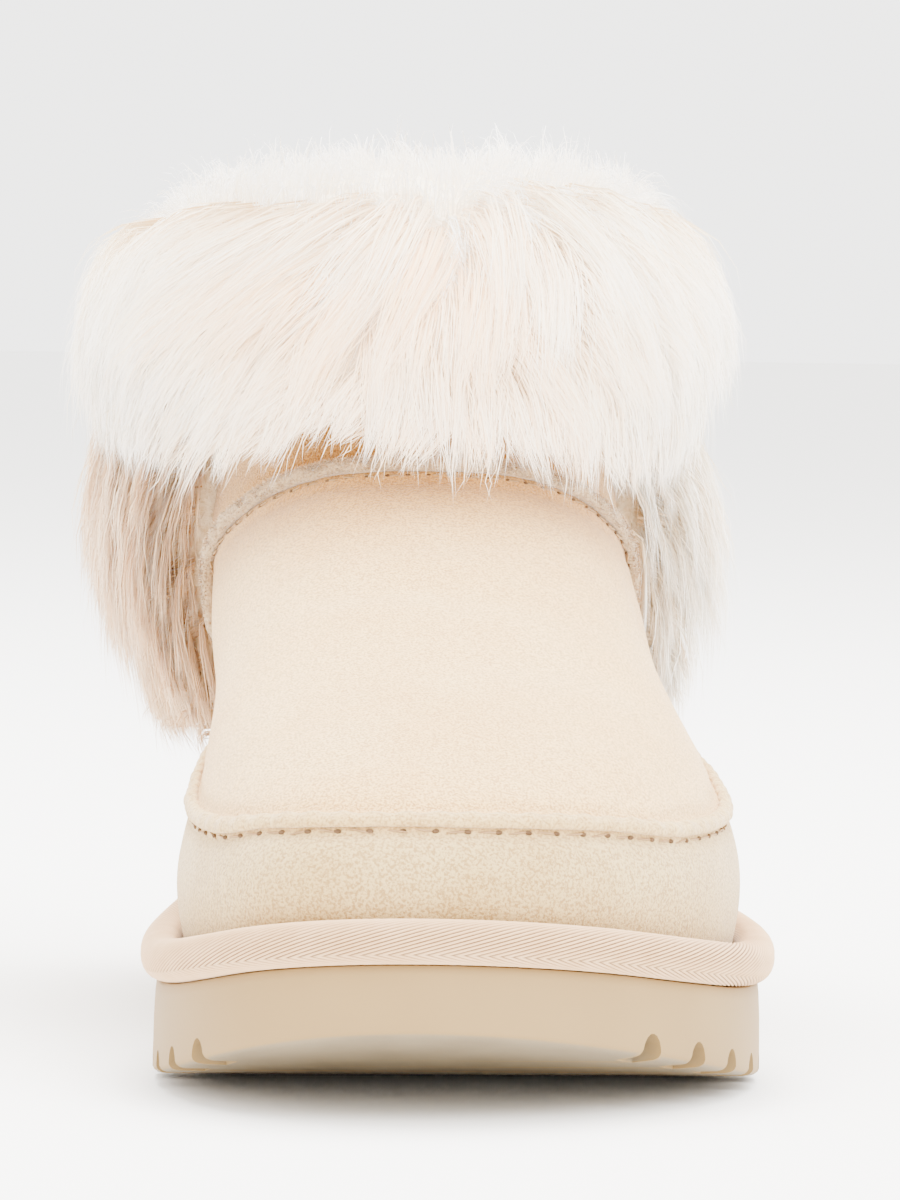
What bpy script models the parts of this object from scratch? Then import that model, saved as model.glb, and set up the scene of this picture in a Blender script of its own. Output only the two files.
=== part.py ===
"""Left ankle boot of suede sheepskin with a long-haired fur collar and fur quarters.

The pieces are separate solids at their real size. Sizes are in millimetres; meshes are made in metres.
+Z is up, +Y runs from toe to heel, +X points to the outer side of the foot.
The origin is on the floor under the middle of the boot's bounding box.
"""

import math

import bmesh
import bpy
import numpy as np
from mathutils import Matrix

MM = 0.001
GAP = 0.3                 # air between two pieces that touch
SEAM_GAP = 0.5            # air under a raised seam, which bridges small hollows of the wall
FUR_GAP = 0.8             # air behind the fur, which bridges larger ones

# Sole, measured along the foot from the back of the heel
TOE_SWING = -13.0         # sideways place of the toe's tip
WELT_OVERHANG = 2.1       # the welt stands this far outside the sole's edge
WELT_HEIGHT = 8.0
FEATHER_INSET = 5.3       # the upper meets the welt this far inside the sole's edge
PLATFORM_HEIGHT = 5.0     # middle of the sole above the ledge that carries the welt
WALL = 3.0                # suede with its clipped wool backing
INSOLE_THICKNESS = 5.5
INSOLE_CROWN = 1.2

# Tread
NOTCH_WIDTH = 4.6
NOTCH_HEIGHT = 3.9
NOTCH_DEPTH = 6.5
NOTCH_SPACING = 12.8      # measured round the edge
NOTCH_FIRST = 45.0        # the first notch's distance round the edge from the toe's tip
NOTCH_LAST = 16.0         # none are nearer than this to the back of the heel
GROOVE_WIDTH = 3.2
GROOVE_DEPTH = 1.6
GROOVE_MARGIN = 15.0      # a groove ends this far inside the sole's edge
HEEL_GROOVES = (24.0, 38.0, 52.0, 66.0)
BALL_GROOVES = (146.0, 158.0, 170.0, 182.0, 194.0)

# Raised seams
APRON_HALF_WIDTH = 1.9
APRON_HEIGHT = 2.2
COLLAR_HALF_WIDTH = 2.3
COLLAR_HEIGHT = 3.0
APRON_END = 0.237         # share of the way round from the heel where the apron's seam ends
COLLAR_END = 0.251        # the same for the collar's seam

# Fur
FUR_SPLIT = 108.5         # height where the collar's fur ends and the quarters' fur begins
FUR_CREST = 156.0         # its thickness table ends here, and the rim rises a little more
CREST_RISE = 2.5
SIDE_DIP = 4.0            # the rim is lower at both sides
PARTING_DROP = 5.0          # the rim parts over the middle of the instep
QUARTER_HEM = 47.0
QUARTER_FRONT = 106.0     # the quarters' fur starts here on both sides and goes round the heel
COLLAR_LOCKS = 22
QUARTER_LOCKS = 18
LOCK_RELIEF = 2.6
LOCK_DROP = 4.0           # a lock's tip hangs this far below the hem

# How finely the curved pieces are divided
SOLE_POINTS = 60
UPPER_POINTS = 50
FUR_POINTS = 66

# Sole's edge, from the back of the heel round the outer side to the toe and back along the arch
OUTLINE_COLUMNS = ("along", "across")
OUTLINE = (
    (0.0, 0.0), (9.0, 24.5), (38.0, 36.5), (82.0, 39.0), (125.0, 45.5), (165.0, 51.7),
    (201.0, 50.6), (232.0, 38.5), (254.0, 14.0), (262.0, TOE_SWING), (256.0, -35.0), (236.0, -49.0),
    (202.0, -53.4), (162.0, -47.5), (120.0, -38.5), (78.0, -35.0), (38.0, -35.0), (9.0, -23.5),
)

# Height of the tread and of the ledge under the welt
PROFILE_COLUMNS = ("along", "tread", "ledge")
PROFILE = (
    (0.0, 3.5, 23.8), (5.0, 1.2, 23.7), (14.0, 0.0, 23.5), (78.0, 0.0, 22.3), (108.0, 2.4, 21.5),
    (138.0, 0.0, 20.2), (176.0, 0.0, 18.4), (205.0, 1.8, 17.8), (222.0, 4.2, 18.8), (238.0, 7.6, 21.2),
    (252.0, 11.4, 24.2), (262.0, 14.6, 26.4),
)

# Sections of the upper from the welt to the collar's edge. Each is a loop between a point on the
# toe or instep and a point on the back, with its half-widths. Round is 0 for the sole's outline and
# 1 for an oval. Lift is how far the loop follows the rise and fall of the sole.
SECTION_COLUMNS = (
    "front", "front_z", "back", "back_z", "outer", "inner", "round", "lift",
)
SECTIONS = (
    (256.7, 30.5, 5.3, 29.0, 51.6, 42.3, 0.00, 1.0),
    (257.8, 36.8, 3.4, 36.0, 52.7, 43.4, 0.00, 0.8),
    (256.6, 43.7, 2.6, 45.0, 52.0, 42.7, 0.02, 0.5),
    (250.5, 51.0, 3.0, 54.0, 48.6, 40.4, 0.10, 0.2),
    (236.5, 58.8, 4.6, 62.0, 44.6, 39.0, 0.26, 0.0),
    (214.0, 67.2, 6.8, 70.5, 41.6, 38.6, 0.48, 0.0),
    (189.0, 76.8, 9.2, 80.0, 39.8, 38.2, 0.70, 0.0),
    (164.0, 88.0, 11.2, 91.0, 38.8, 37.4, 0.88, 0.0),
    (144.5, 100.0, 12.0, 103.0, 38.0, 36.6, 1.00, 0.0),
    (133.5, 113.0, 11.6, 116.0, 37.8, 37.0, 1.00, 0.0),
    (128.5, 127.0, 10.4, 129.0, 38.6, 38.2, 1.00, 0.0),
    (126.5, 141.0, 9.0, 142.0, 39.8, 39.4, 1.00, 0.0),
)
OVAL_POWER = 2.35         # 2 is an ellipse, and more is squarer

# Height of the apron's seam by its place along the foot
APRON_COLUMNS = ("along", "height")
APRON_LINE = (
    (95.0, 63.0), (115.0, 60.0), (136.0, 56.0), (176.0, 50.0), (205.0, 46.0), (228.0, 45.5),
    (243.0, 47.5), (262.0, 49.5),
)

# Height of the collar's seam by its distance round from the front
COLLAR_COLUMNS = ("from_front", "height")
COLLAR_LINE = (
    (0.0, 101.6), (0.06, 101.0), (0.10, 99.0), (0.14, 95.4), (0.18, 90.0), (0.215, 82.5),
    (0.24, 73.0), (0.263, 63.0),
)

# Thickness of the fur outside the wall, by height
FUR_COLUMNS = ("height", "thickness")
COLLAR_FUR = (
    (108.5, 15.5), (111.0, 19.0), (118.0, 22.5), (127.0, 21.0), (137.0, 16.0), (146.0, 10.0),
    (152.0, 5.5), (156.0, 1.0),
)
QUARTER_FUR = (
    (47.0, 9.0), (50.0, 13.0), (58.0, 19.0), (70.0, 22.5), (86.0, 23.0), (98.0, 20.5), (108.5, 16.5),
)


def column(rows, columns, name):
    """One named column of a table."""
    return np.array([row[columns.index(name)] for row in rows], float)


def hermite(starts, ends, slopes_in, slopes_out, share):
    """Cubic between two values with given slopes, at a share of the way."""
    square, cube = share ** 2, share ** 3
    return (
        (2 * cube - 3 * square + 1) * starts
        + (cube - 2 * square + share) * slopes_in
        + (3 * square - 2 * cube) * ends
        + (cube - square) * slopes_out
    )


def smooth_through(values, places, closed=False):
    """Curve of even curvature through the rows of values, read at places counted in rows."""
    count = len(values)
    system = np.diag(np.full(count, 4.0))
    right = np.zeros_like(values)
    for row in range(count):
        if closed or 0 < row < count - 1:
            system[row, (row - 1) % count] += 1
            system[row, (row + 1) % count] += 1
            right[row] = 3 * (values[(row + 1) % count] - values[row - 1])
    if not closed:
        system[0, :2] = system[-1, :-3:-1] = 2, 1
        right[0] = 3 * (values[1] - values[0])
        right[-1] = 3 * (values[-1] - values[-2])
    slopes = np.linalg.solve(system, right)
    first = np.floor(places).astype(int)
    if closed:
        first = first % count
        second = (first + 1) % count
    else:
        first = np.clip(first, 0, count - 2)
        second = first + 1
    share = places - np.floor(places) if closed else places - first
    if values.ndim > 1:
        share = share[..., None]
    return hermite(values[first], values[second], slopes[first], slopes[second], share)


def level_through(rows, columns, name, places):
    """Curve through a table's column that never passes its highest or lowest value."""
    keys, values = column(rows, columns, columns[0]), column(rows, columns, name)
    steps, rises = np.diff(keys), np.diff(values)
    grades = rises / steps
    slopes = np.concatenate([grades[:1], (grades[:-1] + grades[1:]) / 2, grades[-1:]])
    turns = grades[:-1] * grades[1:] <= 0
    slopes[1:-1][turns] = 0
    steepest = 3 * np.minimum(np.abs(grades[:-1]), np.abs(grades[1:]))
    slopes[1:-1] = np.clip(slopes[1:-1], -steepest, steepest)
    places = np.clip(places, keys[0], keys[-1])
    first = np.clip(np.searchsorted(keys, places) - 1, 0, len(keys) - 2)
    width = steps[first]
    share = (places - keys[first]) / width
    return hermite(
        values[first], values[first + 1], slopes[first] * width, slopes[first + 1] * width, share
    )


def tread_height(along):
    return level_through(PROFILE, PROFILE_COLUMNS, "tread", along)


def ledge_height(along):
    return level_through(PROFILE, PROFILE_COLUMNS, "ledge", along)


def centre_line(along):
    """Sideways place of the foot's middle, which bends towards the big toe."""
    share = np.clip(along / OUTLINE[9][0], 0, 1)
    return TOE_SWING * share ** 3


def outline_sides(inset):
    """Both sides of the sole's edge drawn in by inset, each as (along, across) from heel to toe."""
    samples = 720
    rows = np.array(OUTLINE, float)
    edge = smooth_through(rows, np.arange(samples) * len(rows) / samples, closed=True)
    tangent = np.roll(edge, -1, 0) - np.roll(edge, 1, 0)
    tangent /= np.linalg.norm(tangent, axis=1)[:, None]
    inward = np.stack([tangent[:, 1], -tangent[:, 0]], 1)
    edge = edge + inset * inward
    edge = np.roll(edge, -int(np.argmin(edge[:, 0])), 0)
    toe = int(np.argmax(edge[:, 0]))
    inner = np.vstack([edge[toe:], edge[:1]])[::-1]
    return edge[: toe + 1], inner


def shares_along(around):
    """Share of the length reached at a share of the way round a loop, close together at both ends."""
    return (1 - np.cos(2 * np.pi * around)) / 2


def edge_loop(inset, points=SOLE_POINTS):
    """The sole's edge drawn in by inset: along and across, from the heel by the outer side."""
    outer, inner = outline_sides(inset)
    around = np.arange(points) / points
    first, last = outer[0, 0], outer[-1, 0]
    along = first + shares_along(around) * (last - first)
    outer_x = np.interp(along, outer[:, 0], outer[:, 1])
    inner_x = np.interp(along, inner[:, 0], inner[:, 1])
    return along, np.where(around <= 0.5, outer_x, inner_x)


def world(along, across, height):
    """Points in metres, with the back of the heel at y = 0."""
    along, across, height = np.broadcast_arrays(along, across, height)
    return np.stack([across, -along, height], -1) * MM


FEATHER_SIDES = outline_sides(FEATHER_INSET)


def side_shape(side, share):
    """Half-width of the upper's lowest loop as a share of its greatest, at a share of its length."""
    edge = FEATHER_SIDES[side]
    along = edge[0, 0] + share * (edge[-1, 0] - edge[0, 0])
    half = np.abs(np.interp(along, edge[:, 0], edge[:, 1]) - centre_line(along))
    return half / np.abs(edge[:, 1] - centre_line(edge[:, 0])).max()


def upper_point(around, rise):
    """The upper's outer face in millimetres: along, across, height.

    Around runs 0 to 1 from the heel by the outer side; rise is 0 at the welt and 1 at the collar.
    """
    around, rise = np.broadcast_arrays(np.asarray(around, float) % 1, np.asarray(rise, float))
    rows = np.array(SECTIONS, float)
    found = smooth_through(rows, rise * (len(rows) - 1))
    section = {name: found[..., k] for k, name in enumerate(SECTION_COLUMNS)}
    share = shares_along(around)
    along = section["back"] + share * (section["front"] - section["back"])
    oval = (1 - np.abs(2 * share - 1) ** OVAL_POWER) ** (1 / OVAL_POWER)
    roundness = np.clip(section["round"], 0, 1)
    on_outer = around <= 0.5
    foot = np.where(on_outer, side_shape(0, share), side_shape(1, share))
    half = np.where(on_outer, section["outer"], -section["inner"])
    across = centre_line(along) + half * ((1 - roundness) * foot + roundness * oval)
    straight = section["back_z"] + share * (section["front_z"] - section["back_z"])
    first = SECTIONS[0]
    sole_line = first[3] + share * (first[1] - first[3])
    height = straight + np.clip(section["lift"], 0, 1) * (
        ledge_height(along) + PLATFORM_HEIGHT + GAP - sole_line
    )
    return np.stack([along, across, height], -1)


def upper_normal(around, rise):
    """Outward direction of the upper's face, in the same order as upper_point."""
    step = 1e-3
    rise = np.clip(rise, step, 1 - step)
    round_way = upper_point(around + step, rise) - upper_point(around - step, rise)
    up_way = upper_point(around, rise + step) - upper_point(around, rise - step)
    normal = np.cross(up_way, round_way)
    return normal / np.linalg.norm(normal, axis=-1)[..., None]


def rise_where(around, height_wanted):
    """How far up the upper a height is met; height_wanted takes the points' place along the foot."""
    low, high = np.zeros_like(around), np.ones_like(around)
    for _ in range(30):
        middle = (low + high) / 2
        point = upper_point(around, middle)
        below = point[..., 2] < height_wanted(point[..., 0])
        low, high = np.where(below, middle, low), np.where(below, high, middle)
    return (low + high) / 2


def material(name, colour, roughness, metallic=0.0):
    made = bpy.data.materials.new(name)
    made.use_nodes = True
    shader = made.node_tree.nodes["Principled BSDF"]
    shader.inputs["Base Color"].default_value = (*colour, 1.0)
    shader.inputs["Roughness"].default_value = roughness
    shader.inputs["Metallic"].default_value = metallic
    return made


def new_object(name, bm, collection, finish=None):
    """A smooth-shaded object from a bmesh, with its faces pointing out."""
    bmesh.ops.recalc_face_normals(bm, faces=bm.faces)
    mesh = bpy.data.meshes.new(name)
    bm.to_mesh(mesh)
    bm.free()
    mesh.shade_smooth()
    mesh.set_sharp_from_angle(angle=math.radians(40))
    made = bpy.data.objects.new(name, mesh)
    collection.objects.link(made)
    if finish:
        mesh.materials.append(finish)
    return made


def add_loops(bm, loops, closed_round=True):
    """Vertices for each loop, and quads between one loop and the next."""
    rows = [[bm.verts.new(point) for point in loop] for loop in loops]
    count = len(rows[0])
    spans = count if closed_round else count - 1
    for lower, upper in zip(rows, rows[1:]):
        for k in range(spans):
            after = (k + 1) % count
            bm.faces.new((lower[k], lower[after], upper[after], upper[k]))
    return rows


def add_cross_cap(bm, row):
    """Closes a loop with strips that run from side to side at equal places along the foot."""
    count = len(row)
    for k in range(count // 2):
        near, far = (count - k) % count, count - k - 1
        corners = dict.fromkeys((row[k], row[k + 1], row[far], row[near]))
        bm.faces.new(tuple(corners))


def slab(name, loops, collection, finish):
    """A solid between stacked loops, closed at the bottom and top."""
    bm = bmesh.new()
    rows = add_loops(bm, loops)
    add_cross_cap(bm, rows[0])
    add_cross_cap(bm, rows[-1])
    return new_object(name, bm, collection, finish)


def ring(name, loops, collection, finish):
    """A ring-shaped solid whose last loop joins the first."""
    bm = bmesh.new()
    rows = add_loops(bm, loops)
    for k in range(len(rows[0])):
        after = (k + 1) % len(rows[0])
        bm.faces.new((rows[-1][k], rows[-1][after], rows[0][after], rows[0][k]))
    return new_object(name, bm, collection, finish)


def swept(name, sections, collection, finish):
    """A solid strip through closed sections, with both ends capped."""
    bm = bmesh.new()
    rows = add_loops(bm, sections)
    bm.faces.new(rows[0])
    bm.faces.new(rows[-1])
    return new_object(name, bm, collection, finish)


def sole_loop(inset, above_tread=0.0, towards_ledge=0.0, above_ledge=0.0):
    """A loop of the sole at a height between its tread and its ledge."""
    along, across = edge_loop(inset)
    bottom, top = tread_height(along) + above_tread, ledge_height(along)
    height = bottom + towards_ledge * (top - bottom) + above_ledge
    return world(along, across, height)


def make_notch_cutters(side, cutters):
    """Round-topped slots at equal steps round one side of the sole, running in under its wall."""
    edge = outline_sides(0.0)[side][::-1]
    steps = np.linalg.norm(np.diff(edge, axis=0), axis=1)
    walked = np.concatenate([[0.0], np.cumsum(steps)])
    for number, distance in enumerate(np.arange(NOTCH_FIRST, walked[-1], NOTCH_SPACING)):
        here = np.array([np.interp(distance, walked, edge[:, k]) for k in (0, 1)])
        ahead = np.array([np.interp(distance + 1.0, walked, edge[:, k]) for k in (0, 1)])
        if here[0] < NOTCH_LAST:
            break
        run = ahead - here
        bpy.ops.mesh.primitive_cylinder_add(
            vertices=8, radius=NOTCH_WIDTH / 2 * MM, depth=2 * NOTCH_DEPTH * MM
        )
        cutter = bpy.context.object
        cutter.scale = (NOTCH_HEIGHT / (NOTCH_WIDTH / 2), 1.0, 1.0)
        cutter.rotation_euler = (0.0, math.pi / 2, math.atan2(-run[0], run[1]) + math.pi / 2)
        cutter.location = world(here[0], here[1], tread_height(here[0]))
        as_cutter(cutter, f"notch_{side}_{number}", cutters)


def make_groove_cutter(along, cutters):
    """A shallow round-bottomed groove across the tread, short of both edges."""
    outer, inner = outline_sides(GROOVE_MARGIN)
    right = np.interp(along, outer[:, 0], outer[:, 1])
    left = np.interp(along, inner[:, 0], inner[:, 1])
    bpy.ops.mesh.primitive_cylinder_add(
        vertices=6, radius=GROOVE_WIDTH / 2 * MM, depth=(right - left) * MM
    )
    cutter = bpy.context.object
    cutter.scale = (GROOVE_DEPTH / (GROOVE_WIDTH / 2), 1.0, 1.0)
    cutter.rotation_euler = (0.0, math.pi / 2, 0.0)
    cutter.location = world(along, (right + left) / 2, tread_height(np.array(along)))
    return as_cutter(cutter, f"groove_{round(along)}", cutters)


def as_cutter(made, name, cutters):
    """Names a helper, hides it from renders and moves it to the cutters."""
    made.name = name
    made.hide_render = True
    made.display_type = "WIRE"
    for collection in list(made.users_collection):
        collection.objects.unlink(made)
    cutters.objects.link(made)
    return made


def make_outsole(parts, cutters, finish):
    """The moulded sole: toe spring, arch, ledge for the welt, platform, and a notched tread."""
    loops = [
        sole_loop(2.2),
        sole_loop(0.9, above_tread=0.25),
        sole_loop(0.2, above_tread=1.1),
        sole_loop(0.3, above_tread=3.0, towards_ledge=0.5),
        sole_loop(0.7, towards_ledge=1.0, above_ledge=-0.8),
        sole_loop(1.5, towards_ledge=1.0),
        sole_loop(FEATHER_INSET, towards_ledge=1.0),
        sole_loop(FEATHER_INSET, towards_ledge=1.0, above_ledge=PLATFORM_HEIGHT),
    ]
    sole = slab("outsole", loops, parts, finish)
    tools = bpy.data.collections.new("tread_cutters")
    cutters.children.link(tools)
    for side in (0, 1):
        make_notch_cutters(side, tools)
    for along in HEEL_GROOVES + BALL_GROOVES:
        make_groove_cutter(along, tools)
    cut = sole.modifiers.new("tread", "BOOLEAN")
    cut.operation = "DIFFERENCE"
    cut.operand_type = "COLLECTION"
    cut.collection = tools
    return sole


def make_welt(parts, finish):
    """The padded welt that runs right round between sole and upper, bound in twill tape."""
    middle = (FEATHER_INSET - GAP - WELT_OVERHANG) / 2
    reach = (FEATHER_INSET - GAP + WELT_OVERHANG) / 2
    power = 2.4
    loops = []
    for angle in np.arange(8) * 2 * np.pi / 8:
        sideways = np.sign(np.cos(angle)) * np.abs(np.cos(angle)) ** (2 / power)
        upward = np.sign(np.sin(angle)) * np.abs(np.sin(angle)) ** (2 / power)
        above = GAP + WELT_HEIGHT / 2 * (1 + upward)
        loops.append(sole_loop(middle - reach * sideways, towards_ledge=1.0, above_ledge=above))
    return ring("welt", loops, parts, finish)


def make_upper(parts, finish):
    """One hollow wall from the welt to the collar, open underneath and at the top."""
    around = np.arange(UPPER_POINTS) / UPPER_POINTS
    outside = np.concatenate(
        [np.linspace(0, 0.36, 8), np.linspace(0.395, 0.81, 13), np.linspace(0.88, 1, 3)]
    )
    inside = np.array([1.0, 0.84, 0.7, 0.58, 0.46, 0.36, 0.24, 0.12, 0.0])
    loops = []
    for rise in outside:
        loops.append(world(*upper_point(around, rise).T))
    for rise in inside:
        point = upper_point(around, rise)
        normal = upper_normal(around, rise)
        if rise in (0.0, 1.0):
            normal[:, 2] = 0
            normal /= np.linalg.norm(normal, axis=1)[:, None]
        loops.append(world(*(point - WALL * normal).T))
    return ring("upper", loops, parts, finish)


def make_insole(parts, finish):
    """The fleece footbed that lies on the sole's platform inside the upper."""
    edge_inset = FEATHER_INSET + WALL + GAP
    base = PLATFORM_HEIGHT + GAP

    def loop(inset, above):
        return sole_loop(edge_inset + inset, towards_ledge=1.0, above_ledge=base + above)

    loops = [
        loop(0.3, 0.0),
        loop(0.3, INSOLE_THICKNESS - 1.5),
        loop(1.6, INSOLE_THICKNESS - 0.3),
        loop(9.0, INSOLE_THICKNESS),
        loop(20.0, INSOLE_THICKNESS + INSOLE_CROWN),
    ]
    return slab("insole", loops, parts, finish)


def bead_on_upper(name, around, rises, half_width, bead_height, parts, finish):
    """A raised seam that follows a line on the upper, with a base shaped to the wall."""
    points = upper_point(around, rises)
    normals = upper_normal(around, rises)
    tangents = np.gradient(points, axis=0)
    tangents /= np.linalg.norm(tangents, axis=1)[:, None]
    sideways = np.cross(normals, tangents)
    profile = ((-1.0, 0.0), (-0.8, 0.62), (-0.3, 1.0), (0.3, 1.0), (0.8, 0.62), (1.0, 0.0))
    sections = []
    for point, normal, side in zip(points, normals, sideways):
        section = [
            point
            + side * half_width * across
            + normal * (SEAM_GAP + lift * (bead_height - SEAM_GAP))
            for across, lift in profile
        ]
        sections.append(world(*np.array(section).T))
    return swept(name, sections, parts, finish)


def make_apron_seam(parts, finish):
    """The ridge where the vamp is sewn to the toe wall, from one side round the toe to the other."""
    around = np.linspace(APRON_END, 1 - APRON_END, 45)
    rises = rise_where(
        around, lambda along: level_through(APRON_LINE, APRON_COLUMNS, "height", along)
    )
    return bead_on_upper(
        "apron_seam", around, rises, APRON_HALF_WIDTH, APRON_HEIGHT, parts, finish
    )


def make_collar_seam(parts, finish):
    """The fleecy ridge where the vamp meets the shaft, over the instep and down both sides."""
    around = np.linspace(COLLAR_END, 1 - COLLAR_END, 43)
    heights = level_through(COLLAR_LINE, COLLAR_COLUMNS, "height", np.abs(around - 0.5))
    rises = rise_where(around, lambda along: heights)
    return bead_on_upper(
        "collar_seam", around, rises, COLLAR_HALF_WIDTH, COLLAR_HEIGHT, parts, finish
    )


def wall_and_outward(around, height):
    """The upper's face at a height, kept upright above the collar, and the level way out of it."""
    around, height = np.broadcast_arrays(np.asarray(around, float), np.asarray(height, float))
    top = upper_point(around, np.ones_like(around))[..., 2]
    rise = rise_where(around, lambda along: np.minimum(height, top))
    point, normal = upper_point(around, rise), upper_normal(around, rise)
    point[..., 2] = height
    normal[..., 2] = 0
    return point, normal / np.linalg.norm(normal, axis=-1)[..., None]


def lock_wave(places, height, spacing):
    """Ridge and valley of the locks, 0 to 1, swinging sideways a little as they hang."""
    swing = 0.35 * np.sin(height / spacing) + 0.25 * np.sin(places * 0.7)
    phase = (places + swing) % 1
    return np.sqrt(np.clip(1 - np.abs(2 * phase - 1) ** 1.6, 0, 1))


def collar_hem(around):
    """Lower edge of the collar's fur: jagged over the instep, level where it meets the quarters' fur."""
    from_front = np.abs(around - 0.5)
    share = np.clip((0.16 - from_front) / 0.06, 0, 1)
    wave = lock_wave(around * COLLAR_LOCKS, FUR_SPLIT, 17.0)
    return FUR_SPLIT - LOCK_DROP * share * (wave - 0.5)


def make_fur_collar(parts, finish):
    """Long fur that stands on the collar's edge and falls over the shaft, in overlapping locks."""
    around = np.arange(FUR_POINTS) / FUR_POINTS
    places = around * COLLAR_LOCKS
    hem = collar_hem(around)
    parting = PARTING_DROP * np.exp(-(((around - 0.5) / 0.018) ** 2))
    side_dip = SIDE_DIP * np.sin(2 * np.pi * around) ** 2
    crest = FUR_CREST + CREST_RISE - side_dip - parting
    collar_top = upper_point(around, np.ones_like(around))[:, 2]
    loops = []
    shares = (0.0, 0.05, 0.14, 0.26, 0.4, 0.54, 0.68, 0.8, 0.9, 0.96)
    for share in shares:
        height = hem + share * (crest - hem)
        depth = level_through(
            COLLAR_FUR, FUR_COLUMNS, "thickness", FUR_SPLIT + share * (FUR_CREST - FUR_SPLIT)
        )
        relief = LOCK_RELIEF * (lock_wave(places, height, 17.0) - 0.5) * min(1, 4 * (1 - share))
        point, outward = wall_and_outward(around, height)
        loops.append(world(*(point + outward * (depth + relief)[:, None]).T))
    inside = ((-1.0, 1.0), (-WALL, 0.7), (-WALL, 0.0))
    for inward, share in inside:
        height = collar_top + GAP + share * (crest - collar_top - GAP)
        point, outward = wall_and_outward(around, height)
        loops.append(world(*(point + outward * inward).T))
    for inward, height in (
        (FUR_GAP, collar_top + GAP),
        (FUR_GAP, collar_top - 12.0),
        (FUR_GAP, hem + 0.35 * (collar_top - hem)),
        (FUR_GAP, hem),
    ):
        point, outward = wall_and_outward(around, height)
        loops.append(world(*(point + outward * inward).T))
    return ring("fur_collar", loops, parts, finish)


def quarter_edge(height):
    """How far round from the heel the quarters' fur reaches at a height, on either side."""
    reach = np.full_like(height, 0.2)
    for _ in range(12):
        rise = rise_where(reach, lambda along: height)
        rows = smooth_through(np.array(SECTIONS, float), rise * (len(SECTIONS) - 1))
        share = (QUARTER_FRONT - rows[:, 2]) / (rows[:, 0] - rows[:, 2])
        reach = np.arccos(1 - 2 * np.clip(share, 0.02, 0.98)) / (2 * np.pi)
    return reach


def make_fur_quarters(parts, finish):
    """Fur on both quarters and round the heel, hanging from under the collar's fur."""
    stations = np.linspace(-1, 1, 49)
    shares = np.array([0.0, 0.04, 0.13, 0.28, 0.46, 0.64, 0.83, 1.0])
    lock_drop = LOCK_DROP * (lock_wave(stations * QUARTER_LOCKS / 2, QUARTER_HEM, 15.0) - 0.5)
    rounding = np.sqrt(np.clip(1 - np.abs(stations) ** 16, 0.06, 1))
    lift = 7.0 * np.abs(stations) ** 3
    sections = []
    for station, drop, thickness, rise_of_hem in zip(stations, lock_drop, rounding, lift):
        hem = QUARTER_HEM + rise_of_hem - drop
        height = hem + shares * (FUR_SPLIT - GAP - hem)
        around = station * quarter_edge(height)
        places = station * QUARTER_LOCKS / 2
        depth = level_through(
            QUARTER_FUR, FUR_COLUMNS, "thickness", QUARTER_HEM + shares * (FUR_SPLIT - QUARTER_HEM)
        )
        depth = depth * thickness + LOCK_RELIEF * (lock_wave(places, height, 15.0) - 0.5)
        point, outward = wall_and_outward(around, height)
        outer = world(*(point + outward * depth[:, None]).T)
        back = world(*(point + outward * FUR_GAP).T)[::-1]
        sections.append(np.vstack([outer, back]))
    return swept("fur_quarters", sections, parts, finish)


def stand_over_origin(parts, cutters):
    """Moves everything level so that the middle of the boot's box is over the origin."""
    corners = np.concatenate(
        [[vertex.co for vertex in piece.data.vertices] for piece in parts.objects]
    )
    middle = (corners.min(0) + corners.max(0)) / 2
    shift = Matrix.Translation((-middle[0], -middle[1], 0.0))
    for piece in parts.objects:
        piece.data.transform(shift)
    for cutter in cutters.all_objects:
        cutter.location = shift @ cutter.location


def main():
    for old in list(bpy.data.objects):
        bpy.data.objects.remove(old)
    scene = bpy.context.scene
    parts = bpy.data.collections.new("fur_trimmed_boot")
    cutters = bpy.data.collections.new("cutters")
    scene.collection.children.link(parts)
    scene.collection.children.link(cutters)

    rubber = material("moulded_foam_rubber", (0.67, 0.56, 0.41), 0.62)
    twill = material("cotton_twill_tape", (0.76, 0.64, 0.53), 0.9)
    suede = material("sheepskin_suede", (0.86, 0.76, 0.61), 0.95)
    fleece = material("seam_fleece", (0.68, 0.54, 0.41), 1.0)
    fur = material("long_sheep_fur", (0.92, 0.86, 0.76), 1.0)

    make_outsole(parts, cutters, rubber)
    make_welt(parts, twill)
    make_upper(parts, suede)
    make_insole(parts, fur)
    make_apron_seam(parts, suede)
    make_collar_seam(parts, fleece)
    make_fur_collar(parts, fur)
    make_fur_quarters(parts, fur)
    stand_over_origin(parts, cutters)


main()
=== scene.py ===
"""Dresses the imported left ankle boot: suede, seams, bound welt, moulded sole, fleece and long fur.

Shapes follow the boot's own tables, in millimetres: along the foot from the back of the heel,
across it towards the outer side, and up from the floor.
"""

import math

import bmesh
import bpy
import numpy as np
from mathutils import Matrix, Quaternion, Vector

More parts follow.
